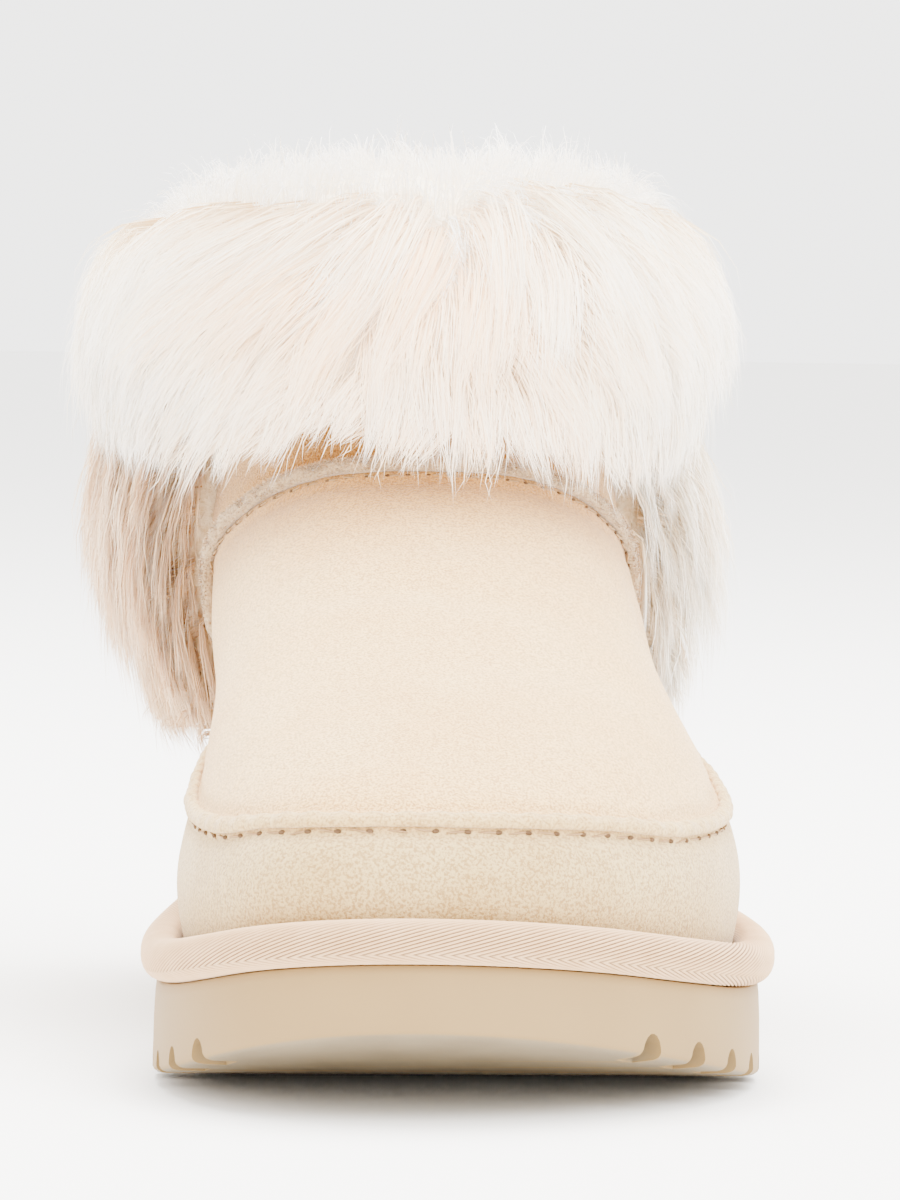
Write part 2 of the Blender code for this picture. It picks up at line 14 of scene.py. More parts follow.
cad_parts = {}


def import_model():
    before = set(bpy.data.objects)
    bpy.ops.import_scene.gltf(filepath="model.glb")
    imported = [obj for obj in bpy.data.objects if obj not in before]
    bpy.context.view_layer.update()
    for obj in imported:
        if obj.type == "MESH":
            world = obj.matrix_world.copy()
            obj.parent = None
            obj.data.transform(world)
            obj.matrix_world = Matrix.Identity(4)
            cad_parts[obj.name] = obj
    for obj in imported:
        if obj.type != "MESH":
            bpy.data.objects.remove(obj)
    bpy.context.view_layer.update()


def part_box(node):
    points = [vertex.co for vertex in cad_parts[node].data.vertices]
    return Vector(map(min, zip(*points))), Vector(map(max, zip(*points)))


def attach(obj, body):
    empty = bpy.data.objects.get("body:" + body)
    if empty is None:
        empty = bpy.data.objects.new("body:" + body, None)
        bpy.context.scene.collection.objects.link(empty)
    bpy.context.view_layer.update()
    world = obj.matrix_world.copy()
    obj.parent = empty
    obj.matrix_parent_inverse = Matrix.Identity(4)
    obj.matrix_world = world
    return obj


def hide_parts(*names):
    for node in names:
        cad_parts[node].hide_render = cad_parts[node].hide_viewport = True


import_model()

MM = 0.001
BLEND, TINT = {"data_type": "RGBA"}, {"data_type": "RGBA", "blend_type": "MULTIPLY"}
GAP = 0.3
WALL = 3.0
TOE_SWING = -13.0
FEATHER_INSET = 5.3
PLATFORM_HEIGHT = 5.0
WELT_OVERHANG = 2.1
NOTCH_WIDTH, NOTCH_HEIGHT, NOTCH_DEPTH = 4.6, 3.9, 6.5
NOTCH_FIRST, NOTCH_SPACING, NOTCH_LAST = 45.0, 12.8, 16.0
GROOVE_WIDTH, GROOVE_DEPTH, GROOVE_MARGIN = 3.2, 1.6, 15.0
HEEL_GROOVES = (24.0, 38.0, 52.0, 66.0)
BALL_GROOVES = (146.0, 158.0, 170.0, 182.0, 194.0)
TAPE_HEIGHT = 7.3
TAPE_SLANT = 3.2
RIB_PITCH = 1.95
FUR_SPLIT = 108.5
FUR_CREST = 156.0
QUARTER_HEM = 47.0
QUARTER_FRONT = 106.0
STITCH_PITCH = 5.3
COLLAR_STITCH_PITCH = 3.6
CLOSING_STITCH_PITCH = 3.2
CLOSING_SEAMS = (0.0046, 0.9954, 0.2745, 0.7255)  # shares of the way round from the heel
UPPER_COLUMNS, UPPER_ROWS, INSIDE_ROWS = 320, 142, 20
APRON_RIDGE_HALF, APRON_RIDGE_TALL = 1.5, 2.1
COLLAR_RIDGE_HALF, COLLAR_RIDGE_TALL = 1.45, 2.6
RIDGE_WOOL_COUNT = 6500
HAIR_POINTS = 5
HAIR_WIDTH = (0.22, 0.36)
PARTING = 0.49  # share of the way round at which the collar's hair parts
BED_SHARE = 0.72  # share of the fur's thickness that is dense underwool

# Studio: what the camera and the lights need, in metres, watts and degrees
CAMERA_PLACE, CAMERA_AIM = (-0.137, -1.339, 0.1487), (0.002, -0.02, 0.079)
CAMERA_LENS, CAMERA_ROLL = 225.0, 1.0
FLOOR_HALF = 6.0
SURROUND_STRENGTH = 4.3
LIGHT_COLUMNS = ("name", "place", "aim", "size", "power", "colour")
LIGHTS = (
    ("key", (0.8, -1.2, 1.5), (0, 0, 0.08), 1.2, 60, "#FFFFFF"),
    ("fill", (-1.1, -0.9, 0.9), (0, 0, 0.08), 1.2, 12, "#FFE9CF"),
    ("top", (0.1, 0.3, 1.6), (0, 0, 0.1), 1.4, 140, "#FFFFFF"),
)

# Sole's edge, from the back of the heel round the outer side to the toe and back along the arch
OUTLINE_COLUMNS = ("along", "across")
OUTLINE = (
    (0.0, 0.0), (9.0, 24.5), (38.0, 36.5), (82.0, 39.0), (125.0, 45.5), (165.0, 51.7),
    (201.0, 50.6), (232.0, 38.5), (254.0, 14.0), (262.0, TOE_SWING), (256.0, -35.0), (236.0, -49.0),
    (202.0, -53.4), (162.0, -47.5), (120.0, -38.5), (78.0, -35.0), (38.0, -35.0), (9.0, -23.5),
)

# Height of the tread and of the ledge under the welt
PROFILE_COLUMNS = ("along", "tread", "ledge")
PROFILE = (
    (0.0, 3.5, 23.8), (5.0, 1.2, 23.7), (14.0, 0.0, 23.5), (78.0, 0.0, 22.3), (108.0, 2.4, 21.5),
    (138.0, 0.0, 20.2), (176.0, 0.0, 18.4), (205.0, 1.8, 17.8), (222.0, 4.2, 18.8), (238.0, 7.6, 21.2),
    (252.0, 11.4, 24.2), (262.0, 14.6, 26.4),
)

# Sections of the upper from the welt to the collar's edge
SECTION_COLUMNS = (
    "front", "front_z", "back", "back_z", "outer", "inner", "round", "lift",
)
SECTIONS = (
    (256.7, 30.5, 5.3, 29.0, 51.6, 42.3, 0.00, 1.0),
    (257.8, 36.8, 3.4, 36.0, 52.7, 43.4, 0.00, 0.8),
    (256.6, 43.7, 2.6, 45.0, 52.0, 42.7, 0.02, 0.5),
    (250.5, 51.0, 3.0, 54.0, 48.6, 40.4, 0.10, 0.2),
    (236.5, 58.8, 4.6, 62.0, 44.6, 39.0, 0.26, 0.0),
    (214.0, 67.2, 6.8, 70.5, 41.6, 38.6, 0.48, 0.0),
    (189.0, 76.8, 9.2, 80.0, 39.8, 38.2, 0.70, 0.0),
    (164.0, 88.0, 11.2, 91.0, 38.8, 37.4, 0.88, 0.0),
    (144.5, 100.0, 12.0, 103.0, 38.0, 36.6, 1.00, 0.0),
    (133.5, 113.0, 11.6, 116.0, 37.8, 37.0, 1.00, 0.0),
    (128.5, 127.0, 10.4, 129.0, 38.6, 38.2, 1.00, 0.0),
    (126.5, 141.0, 9.0, 142.0, 39.8, 39.4, 1.00, 0.0),
)
OVAL_POWER = 2.35

APRON_COLUMNS = ("along", "height")
APRON_LINE = (
    (95.0, 63.0), (115.0, 60.0), (136.0, 56.0), (176.0, 50.0), (205.0, 46.0), (228.0, 45.5),
    (243.0, 47.5), (262.0, 49.5),
)
COLLAR_COLUMNS = ("from_front", "height")
COLLAR_LINE = (
    (0.0, 102.6), (0.06, 101.2), (0.10, 98.4), (0.14, 94.2), (0.18, 89.0), (0.215, 82.0),
    (0.24, 73.0), (0.263, 63.0),
)
FUR_COLUMNS = ("height", "thickness")
COLLAR_FUR = (
    (108.5, 15.5), (111.0, 19.0), (118.0, 22.5), (127.0, 21.0), (137.0, 16.0), (146.0, 10.0),
    (152.0, 5.5), (156.0, 1.0),
)
QUARTER_FUR = (
    (47.0, 9.0), (50.0, 13.0), (58.0, 19.0), (70.0, 22.5), (86.0, 23.0), (98.0, 20.5), (108.5, 16.5),
)

# How far the fur's outline stands proud of that thickness, at the arch side and the outer side
TRIM_COLUMNS = ("height", "inner", "outer")
FUR_TRIM = (
    (48.0, -3.0, -1.5), (58.0, 1.5, 1.6), (68.0, 1.8, 0.8), (80.0, 0.6, 0.4), (89.0, 0.0, 0.0),
    (100.0, 2.4, 0.8), (108.5, 5.0, -0.5), (115.0, 2.0, 0.0), (124.0, -0.8, -0.5),
    (132.0, -0.6, -3.0), (141.0, 1.4, -0.8), (147.0, -0.4, 2.0), (156.0, -3.0, 2.0),
)

# Lowest reach of the collar's hair, by the share of the way round from the front towards the arch side
HEM_COLUMNS = ("turn", "height")
COLLAR_HEM = (
    (-0.20, 101.5), (-0.12, 98.0), (-0.09, 99.5), (-0.07, 101.5), (-0.05, 104.0), (-0.012, 103.5),
    (0.015, 104.0), (0.032, 105.5), (0.047, 106.8), (0.062, 107.6), (0.075, 106.5), (0.092, 102.5),
    (0.12, 100.5), (0.20, 101.5),
)

# Rings of locks on the collar's edge: the root's place out from the leg and its height, the tip's
# height and furthest place out, and how far the lock rises between them
RIM_COLUMNS = ("root_out", "root_height", "tip_height", "hump", "limit")
RIM_RINGS = (
    (9.5, 139.5, 133.0, 5.0, 99.0), (7.5, 143.0, 141.0, 8.0, 99.0), (5.0, 145.0, 148.0, 7.5, 99.0),
    (2.5, 147.0, 154.0, 5.5, 99.0), (0.5, 148.0, 159.0, 2.5, 1.0), (-1.5, 147.0, 157.5, 3.5, -4.5),
    (-2.5, 140.0, 148.0, 8.5, -9.0),
)

# Hairs to a lock, those of them that cast a shadow as well, and the lock's spread at root and tip
LOCK_COLUMNS = ("name", "hairs", "shading_hairs", "root_spread", "tip_spread")
LOCK_ROWS = (
    ("fur_collar_front", 76, 16, 4.4, 1.0), ("fur_collar_back", 28, 9, 4.4, 1.1),
    ("fur_rim", 44, 0, 4.0, 1.3), ("fur_quarter_outer", 46, 10, 4.4, 1.1),
    ("fur_quarter_inner", 42, 14, 4.4, 1.1),
)

# The sole's loops from the tread's edge up to the platform
SOLE_COLUMNS = ("inset", "above_tread", "towards_ledge", "above_ledge")
SOLE_ROWS = (
    (6.5, 0.0, 0.0, 0.0), (2.2, 0.0, 0.0, 0.0), (1.4, 0.08, 0.0, 0.0), (0.9, 0.25, 0.0, 0.0),
    (0.45, 0.6, 0.0, 0.0), (0.2, 1.1, 0.0, 0.0), (0.2, 3.0, 0.0, 0.0), (0.25, 3.0, 0.25, 0.0),
    (0.3, 3.0, 0.5, 0.0), (0.5, 3.0, 0.8, 0.0), (0.7, 0.0, 1.0, -0.8), (1.0, 0.0, 1.0, -0.25),
    (1.5, 0.0, 1.0, 0.0), (FEATHER_INSET, 0.0, 1.0, 0.0), (FEATHER_INSET, 0.0, 1.0, PLATFORM_HEIGHT),
)
TREAD_ROWS = 4

# The footbed's loops, drawn in from the upper's inside, by height above its underside
FOOTBED_COLUMNS = ("inset", "above")
FOOTBED_ROWS = (
    (0.35, 0.0), (0.35, 3.6), (1.0, 4.7), (1.9, 5.1), (4.0, 5.3), (7.0, 5.4), (11.0, 5.8),
    (15.0, 6.2), (20.0, 6.5), (25.0, 6.6),
)

# Soft troughs and ridges in the suede, each a stretched bump round a place. A depth below 0 is a ridge.
CREASE_COLUMNS = (
    "along", "across", "height", "run_along", "run_across", "run_height", "reach", "width", "depth",
)
CREASES = (
    (176.0, -8.0, 82.0, 0.15, 1.0, 0.0, 26.0, 4.2, 0.55),
    (166.0, -10.0, 87.0, 0.10, 1.0, 0.0, 24.0, 4.0, -0.45),
    (158.0, 12.0, 90.0, -0.25, 1.0, 0.1, 22.0, 4.0, 0.50),
    (198.0, 16.0, 71.0, -0.35, 1.0, -0.2, 20.0, 5.0, 0.40),
    (150.0, -34.0, 72.0, 0.9, -0.2, -0.6, 18.0, 3.6, 0.80),
    (138.0, -35.0, 66.0, 0.9, -0.2, -0.5, 16.0, 3.4, -0.55),
    (146.0, 35.0, 74.0, 0.8, 0.3, -0.6, 18.0, 3.6, 0.80),
    (134.0, 36.0, 66.0, 0.9, 0.2, -0.5, 16.0, 3.4, -0.55),
    (214.0, 36.0, 44.0, 0.8, -0.5, 0.1, 13.0, 3.2, 0.45),
    (226.0, -40.0, 42.0, 0.9, 0.4, 0.1, 12.0, 3.0, 0.40),
    (120.0, 40.0, 48.0, 1.0, 0.0, 0.35, 22.0, 4.0, 0.60),
    (118.0, -36.0, 47.0, 1.0, 0.0, 0.35, 22.0, 4.0, 0.60),
    (236.0, -12.0, 58.5, 0.0, 1.0, 0.0, 24.0, 3.4, 0.35),
)


def column(rows, columns, name):
    """One named column of a table."""
    return np.array([row[columns.index(name)] for row in rows], float)


def hermite(starts, ends, slopes_in, slopes_out, share):
    """Cubic between two values with given slopes, at a share of the way."""
    square, cube = share ** 2, share ** 3
    return (
        (2 * cube - 3 * square + 1) * starts
        + (cube - 2 * square + share) * slopes_in
        + (3 * square - 2 * cube) * ends
        + (cube - square) * slopes_out
    )


def smooth_through(values, places, closed=False):
    """Curve of even curvature through the rows of values, read at places counted in rows."""
    count = len(values)
    system = np.diag(np.full(count, 4.0))
    right = np.zeros_like(values)
    for row in range(count):
        if closed or 0 < row < count - 1:
            system[row, (row - 1) % count] += 1
            system[row, (row + 1) % count] += 1
            right[row] = 3 * (values[(row + 1) % count] - values[row - 1])
    if not closed:
        system[0, :2] = system[-1, :-3:-1] = 2, 1
        right[0] = 3 * (values[1] - values[0])
        right[-1] = 3 * (values[-1] - values[-2])
    slopes = np.linalg.solve(system, right)
    first = np.floor(places).astype(int)
    if closed:
        first = first % count
        second = (first + 1) % count
    else:
        first = np.clip(first, 0, count - 2)
        second = first + 1
    share = places - np.floor(places) if closed else places - first
    if values.ndim > 1:
        share = share[..., None]
    return hermite(values[first], values[second], slopes[first], slopes[second], share)


def level_through(rows, columns, name, places):
    """Curve through a table's column that never passes its highest or lowest value."""
    keys, values = column(rows, columns, columns[0]), column(rows, columns, name)
    steps, rises = np.diff(keys), np.diff(values)
    grades = rises / steps
    slopes = np.concatenate([grades[:1], (grades[:-1] + grades[1:]) / 2, grades[-1:]])
    turns = grades[:-1] * grades[1:] <= 0
    slopes[1:-1][turns] = 0
    steepest = 3 * np.minimum(np.abs(grades[:-1]), np.abs(grades[1:]))
    slopes[1:-1] = np.clip(slopes[1:-1], -steepest, steepest)
    places = np.clip(places, keys[0], keys[-1])
    first = np.clip(np.searchsorted(keys, places) - 1, 0, len(keys) - 2)
    width = steps[first]
    share = (places - keys[first]) / width
    return hermite(
        values[first], values[first + 1], slopes[first] * width, slopes[first + 1] * width, share
    )


def tread_height(along):
    """Height of the tread, level under heel and ball, and rising at the arch and the toe."""
    return level_through(PROFILE, PROFILE_COLUMNS, "tread", along)


def ledge_height(along):
    """Height of the ledge that carries the welt."""
    return level_through(PROFILE, PROFILE_COLUMNS, "ledge", along)


def centre_line(along):
    """Sideways place of the foot's middle, which bends towards the big toe."""
    return TOE_SWING * np.clip(along / OUTLINE[9][0], 0, 1) ** 3


def outline_sides(inset):
    """Both sides of the sole's edge drawn in by inset, each as (along, across) from heel to toe."""
    samples = 1440
    rows = np.stack([column(OUTLINE, OUTLINE_COLUMNS, name) for name in OUTLINE_COLUMNS], 1)
    edge = smooth_through(rows, np.arange(samples) * len(rows) / samples, closed=True)
    tangent = np.roll(edge, -1, 0) - np.roll(edge, 1, 0)
    tangent /= np.linalg.norm(tangent, axis=1)[:, None]
    edge = edge + inset * np.stack([tangent[:, 1], -tangent[:, 0]], 1)
    edge = np.roll(edge, -int(np.argmin(edge[:, 0])), 0)
    toe = int(np.argmax(edge[:, 0]))
    return edge[: toe + 1], np.vstack([edge[toe:], edge[:1]])[::-1]


def shares_along(around):
    """Share of the length reached at a share of the way round a loop."""
    return (1 - np.cos(2 * np.pi * around)) / 2


def edge_loop(inset, points):
    """The sole's edge drawn in by inset: along and across, from the heel by the outer side."""
    outer, inner = outline_sides(inset)
    around = np.arange(points) / points
    first, last = outer[0, 0], outer[-1, 0]
    along = first + shares_along(around) * (last - first)
    outer_x = np.interp(along, outer[:, 0], outer[:, 1])
    inner_x = np.interp(along, inner[:, 0], inner[:, 1])
    return along, np.where(around <= 0.5, outer_x, inner_x)


SOLE_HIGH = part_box("outsole")[1]
HEEL_Y = SOLE_HIGH.y / MM + 0.2
MIDDLE_X = SOLE_HIGH.x / MM - edge_loop(0.2, 60)[1].max()


def world(points):
    """Points given as along, across and height, in metres in the boot's frame."""
    points = np.asarray(points, float)
    return (
        np.stack([points[..., 1] + MIDDLE_X, HEEL_Y - points[..., 0], points[..., 2]], -1) * MM
    )


FEATHER_SIDES = outline_sides(FEATHER_INSET)


def side_shape(side, share):
    """Half-width of the upper's lowest loop as a share of its greatest, at a share of its length."""
    edge = FEATHER_SIDES[side]
    along = edge[0, 0] + share * (edge[-1, 0] - edge[0, 0])
    half = np.abs(np.interp(along, edge[:, 0], edge[:, 1]) - centre_line(along))
    return half / np.abs(edge[:, 1] - centre_line(edge[:, 0])).max()


def upper_point(around, rise):
    """The upper's outer face: around from the heel by the outer side, rise from welt to collar."""
    around, rise = np.broadcast_arrays(np.asarray(around, float) % 1, np.asarray(rise, float))
    rows = np.array(SECTIONS, float)
    found = smooth_through(rows, rise * (len(rows) - 1))
    section = {name: found[..., k] for k, name in enumerate(SECTION_COLUMNS)}
    share = shares_along(around)
    along = section["back"] + share * (section["front"] - section["back"])
    oval = (1 - np.abs(2 * share - 1) ** OVAL_POWER) ** (1 / OVAL_POWER)
    roundness = np.clip(section["round"], 0, 1)
    on_outer = around <= 0.5
    foot = np.where(on_outer, side_shape(0, share), side_shape(1, share))
    half = np.where(on_outer, section["outer"], -section["inner"])
    across = centre_line(along) + half * ((1 - roundness) * foot + roundness * oval)
    straight = section["back_z"] + share * (section["front_z"] - section["back_z"])
    first = SECTIONS[0]
    sole_line = first[3] + share * (first[1] - first[3])
    height = straight + np.clip(section["lift"], 0, 1) * (
        ledge_height(along) + PLATFORM_HEIGHT + GAP - sole_line
    )
    return np.stack([along, across, height], -1)


def upper_normal(around, rise):
    """Outward direction of the upper's face."""
    step = 1e-3
    rise = np.clip(rise, step, 1 - step)
    round_way = upper_point(around + step, rise) - upper_point(around - step, rise)
    up_way = upper_point(around, rise + step) - upper_point(around, rise - step)
    normal = np.cross(up_way, round_way)
    return normal / np.linalg.norm(normal, axis=-1)[..., None]


def bridge_toe(around, values):
    """Values over columns around the boot, carried smoothly across the toe's very middle."""
    order = np.argsort(around)
    near = order[np.abs(around[order] - 0.5) < 0.014]
    if len(near) == 0:
        return values
    first, last = np.searchsorted(around[order], (0.5 - 0.014, 0.5 + 0.014))
    before, ahead = order[first - 3], order[first - 1]
    after, beyond = order[last], order[last + 2]
    width = around[after] - around[ahead]
    share = ((around[near] - around[ahead]) / width)[:, None]
    slope_in = (values[..., ahead, :] - values[..., before, :]) / (around[ahead] - around[before]) * width
    slope_out = (values[..., beyond, :] - values[..., after, :]) / (around[beyond] - around[after]) * width
    bridged = values.copy()
    bridged[..., near, :] = hermite(
        values[..., ahead, None, :], values[..., after, None, :],
        slope_in[..., None, :], slope_out[..., None, :], share,
    )
    return bridged


def even_columns(count):
    """Places around the upper that lie evenly far apart along its edge."""
    fine = np.linspace(0, 1, 4001)
    edge = upper_point(fine, 0.12)
    walked = np.concatenate([[0.0], np.cumsum(np.linalg.norm(np.diff(edge, axis=0), axis=1))])
    return np.interp(np.arange(count) / count * walked[-1], walked, fine)


def outward(stack):
    """Outward direction at each point of a grid of loops going up."""
    round_way = np.roll(stack, -1, 1) - np.roll(stack, 1, 1)
    normal = np.cross(np.gradient(stack, axis=0), round_way)
    return normal / np.linalg.norm(normal, axis=-1)[..., None]


def rise_where(around, height_wanted):
    """How far up the upper a height is met; height_wanted takes the points' place along the foot."""
    low, high = np.zeros_like(around), np.ones_like(around)
    for _ in range(24):
        middle = (low + high) / 2
        point = upper_point(around, middle)
        below = point[..., 2] < height_wanted(point[..., 0])
        low, high = np.where(below, middle, low), np.where(below, high, middle)
    return (low + high) / 2


def apron_height(along):
    """Height of the seam between apron and rand."""
    return level_through(APRON_LINE, APRON_COLUMNS, "height", along)


def collar_height(around):
    """Height of the seam between vamp and collar."""
    return level_through(COLLAR_LINE, COLLAR_COLUMNS, "height", np.abs(around - 0.5))


def wall_and_outward(around, height):
    """The upper's face at a height, kept upright above the collar, and the level way out of it."""
    around, height = np.broadcast_arrays(np.asarray(around, float), np.asarray(height, float))
    top = upper_point(around, np.ones_like(around))[..., 2]
    rise = rise_where(around, lambda along: np.minimum(height, top))
    point, normal = upper_point(around, rise), upper_normal(around, rise)
    point[..., 2] = height
    normal[..., 2] = 0
    return point, normal / np.linalg.norm(normal, axis=-1)[..., None]


def quarter_edge(height):
    """How far round from the heel the quarters' fur reaches at a height, on either side."""
    reach = np.full_like(height, 0.2)
    for _ in range(12):
        rise = rise_where(reach, lambda along: height)
        rows = smooth_through(np.array(SECTIONS, float), rise * (len(SECTIONS) - 1))
        share = (QUARTER_FRONT - rows[..., 2]) / (rows[..., 0] - rows[..., 2])
        reach = np.arccos(1 - 2 * np.clip(share, 0.02, 0.98)) / (2 * np.pi)
    return reach


def smooth_noise(seed, cells, places):
    """Even noise from -1 to 1 over places with 2 or 3 coordinates, counted in cells."""
    random = np.random.default_rng(seed)
    table = random.uniform(-1, 1, (cells,) * places.shape[-1])
    base = np.floor(places).astype(int)
    share = places - base
    share = share * share * (3 - 2 * share)
    total = 0
    for corner in np.ndindex(*(2,) * places.shape[-1]):
        weight = np.prod(np.where(corner, share, 1 - share), -1)
        index = tuple((base[..., k] + corner[k]) % cells for k in range(places.shape[-1]))
        total = total + weight * table[index]
    return total


def linear(code):
    """An sRGB hex colour as linear red, green, blue and alpha."""
    channels = [int(code[k : k + 2], 16) / 255 for k in (1, 3, 5)]
    return (*(c / 12.92 if c <= 0.04045 else ((c + 0.055) / 1.055) ** 2.4 for c in channels), 1.0)


def add_node(tree, kind, settings=(), inputs=(), stops=()):
    """A node with its settings, its inputs each given a value or linked, and a ramp's colour stops."""
    made = tree.nodes.new(kind)
    for name, value in dict(settings).items():
        setattr(made, name, value)
    for name, value in dict(inputs).items():
        socket = made.inputs[name]
        if isinstance(value, bpy.types.NodeSocket):
            tree.links.new(value, socket)
        else:
            socket.default_value = value
    for number, (place, code) in enumerate(stops):
        points = made.color_ramp.elements
        point = points[number] if number < len(points) else points.new(place)
        point.position, point.color = place, linear(code)
    return made


def start_material(name, roughness, sheen=0.0, sheen_roughness=0.5, specular=0.3):
    """A material with one Principled shader, and its tree."""
    made = bpy.data.materials.new(name)
    made.use_nodes = True
    shader = made.node_tree.nodes["Principled BSDF"]
    shader.inputs["Roughness"].default_value = roughness
    shader.inputs["Sheen Weight"].default_value = sheen
    shader.inputs["Sheen Roughness"].default_value = sheen_roughness
    shader.inputs["Specular IOR Level"].default_value = specular
    return made, made.node_tree, shader


def cloudy(tree, place, patch_mm, darker, lighter, detail=3.0, roughness=0.55, full=0.7):
    """Colour that drifts from darker to lighter over patches about patch_mm across, and its pattern."""
    look = {"Vector": place, "Scale": 1 / (patch_mm * MM), "Detail": detail, "Roughness": roughness}
    drift = add_node(tree, "ShaderNodeTexNoise", inputs=look).outputs["Fac"]
    stops = ((0.3, darker), (full, lighter))
    colour = add_node(tree, "ShaderNodeValToRGB", inputs={"Fac": drift}, stops=stops)
    return colour.outputs["Color"], drift


def raise_surface(tree, place, shader, *layers):
    """Bumps laid over one another: a pattern or its size in mm, its depth in mm and its strength."""
    below = {}
    for pattern, depth_mm, strength in layers:
        if not isinstance(pattern, bpy.types.NodeSocket):
            look = {"Vector": place, "Scale": 1 / (pattern * MM), "Detail": 3.0, "Roughness": 0.55}
            pattern = add_node(tree, "ShaderNodeTexNoise", inputs=look).outputs["Fac"]
        given = {"Height": pattern, "Distance": depth_mm * MM, "Strength": strength, **below}
        below = {"Normal": add_node(tree, "ShaderNodeBump", inputs=given).outputs["Normal"]}
    tree.links.new(below["Normal"], shader.inputs["Normal"])


def suede_material():
    """Brushed sheepskin suede: a short nap that scatters light, with a fine pale and dark grain.

    The rand is painted a shade darker than the vamp, as painted shade for the lower wall, and is coarser
    in its grain.
    Painted shade also darkens the suede on the shaft and just below the collar, where the collar's fur
    shades it.
    """
    made, tree, shader = start_material("brushed_sheepskin_suede", 0.92, 0.35, 0.45, 0.15)
    place = add_node(tree, "ShaderNodeTexCoord").outputs["Object"]
    panel, painted_fur_shade = (
        add_node(tree, "ShaderNodeAttribute", {"attribute_name": name}).outputs["Fac"]
        for name in ("panel", "painted_fur_shade")
    )
    vamp, _ = cloudy(tree, place, 22, "#EBC07A", "#F1CB8A")
    # painted shade: the rand's colour is darker than the vamp's, for the shade on the lower wall
    rand, _ = cloudy(tree, place, 16, "#C6A86E", "#D0B47C")
    body = add_node(tree, "ShaderNodeMix", BLEND, {0: panel, 6: vamp, 7: rand}).outputs[2]
    # painted shade: the suede tinted darker where the collar's fur shades it
    fur_shaded_body = add_node(tree, "ShaderNodeMix", TINT, {0: 1.0, 6: body, 7: linear("#D6C19C")}).outputs[2]
    body = add_node(tree, "ShaderNodeMix", BLEND, {0: painted_fur_shade, 6: body, 7: fur_shaded_body}).outputs[2]
    fine, coarse = (
        add_node(
            tree, "ShaderNodeTexNoise",
            inputs={"Vector": place, "Scale": 1 / (size * MM), "Detail": detail, "Roughness": 0.6},
        ).outputs["Fac"]
        for size, detail in ((0.4, 2.0), (0.5, 3.0))
    )
    grain = add_node(tree, "ShaderNodeMix", BLEND, {0: panel, 6: fine, 7: coarse}).outputs[2]
    speckle = add_node(
        tree, "ShaderNodeValToRGB", inputs={"Fac": grain}, stops=((0.4, "#A6885C"), (0.56, "#FFFFFF"))
    ).outputs["Color"]
    tinted = add_node(tree, "ShaderNodeMix", TINT, {0: 0.6, 6: body, 7: speckle}).outputs[2]
    tree.links.new(tinted, shader.inputs["Base Color"])
    raise_surface(tree, place, shader, (2.2, 0.3, 0.5), (grain, 0.42, 1.0))
    return made


def rubber_material():
    """Injection-moulded foam rubber: matt and even, with a faint orange-peel skin, and painted shade that
    makes the tread underneath darker and greyer.
    """
    made, tree, shader = start_material("moulded_foam_rubber", 0.6, 0.0, 0.5, 0.35)
    place = add_node(tree, "ShaderNodeTexCoord").outputs["Object"]
    under = add_node(tree, "ShaderNodeAttribute", {"attribute_name": "under"}).outputs["Fac"]
    side, _ = cloudy(tree, place, 30, "#886D41", "#907547", 2.0)
    # painted shade: the tread's darker, greyer colour stands for the shade under the sole
    tread, _ = cloudy(tree, place, 12, "#75674F", "#807259")
    body = add_node(tree, "ShaderNodeMix", BLEND, {0: under, 6: side, 7: tread}).outputs[2]
    tree.links.new(body, shader.inputs["Base Color"])
    raise_surface(tree, place, shader, (0.7, 0.06, 0.5))
    return made


def twill_material():
    """Cotton twill tape: pinkish cream yarns, with painted shade darkening the furrows between them."""
    made, tree, shader = start_material("cotton_twill_tape", 0.85, 0.15, 0.5, 0.2)
    place = add_node(tree, "ShaderNodeTexCoord").outputs["Object"]
    furrow_shade = add_node(tree, "ShaderNodeAttribute", {"attribute_name": "furrow_shade"}).outputs["Fac"]
    yarn, _ = cloudy(tree, place, 6, "#CBA477", "#D5AF84")
    # painted shade: dark brown in the furrows between the ribs
    body = add_node(tree, "ShaderNodeMix", BLEND, {0: furrow_shade, 6: yarn, 7: linear("#6E4F31")})
    tree.links.new(body.outputs[2], shader.inputs["Base Color"])
    raise_surface(tree, place, shader, (0.25, 0.05, 0.5))
    return made


def fleece_material(name, shade, light, curl_mm=1.6):
    """Clipped sheep's wool: small tight curls, with painted shade darkening the hollows between them."""
    made, tree, shader = start_material(name, 0.95, 0.3, 0.5, 0.1)
    place = add_node(tree, "ShaderNodeTexCoord").outputs["Object"]
    # painted shade: the colour follows the curls' height, darker in the hollows
    body, curls = cloudy(tree, place, curl_mm, shade, light, 4.0, 0.6, 0.65)
    tree.links.new(body, shader.inputs["Base Color"])
    raise_surface(tree, place, shader, (curls, 0.75 * curl_mm, 0.8))
    return made


def thread_material():
    """Waxed polyester sewing thread, twisted, a little glossier than the suede; its dark brown is partly
    the thread's own colour and partly painted shade for the shadow line under the ridges.
    """
    made, tree, shader = start_material("polyester_thread", 0.55, 0.0, 0.5, 0.4)
    place = add_node(tree, "ShaderNodeTexCoord").outputs["Object"]
    # partly painted shade: the thread is darker than its own colour, to draw the shadow line below the
    # ridges
    body, _ = cloudy(tree, place, 0.6, "#8C6B43", "#A58457", 2.0)
    tree.links.new(body, shader.inputs["Base Color"])
    return made


def needle_hole_material():
    """Painted shade: a dark bead that stands for the shadow inside a needle hole in suede."""
    made, tree, shader = start_material("needle_hole", 0.95, 0.0, 0.5, 0.1)
    place = add_node(tree, "ShaderNodeTexCoord").outputs["Object"]
    body, _ = cloudy(tree, place, 0.5, "#4E3A28", "#6B523A", 2.0)
    tree.links.new(body, shader.inputs["Base Color"])
    return made


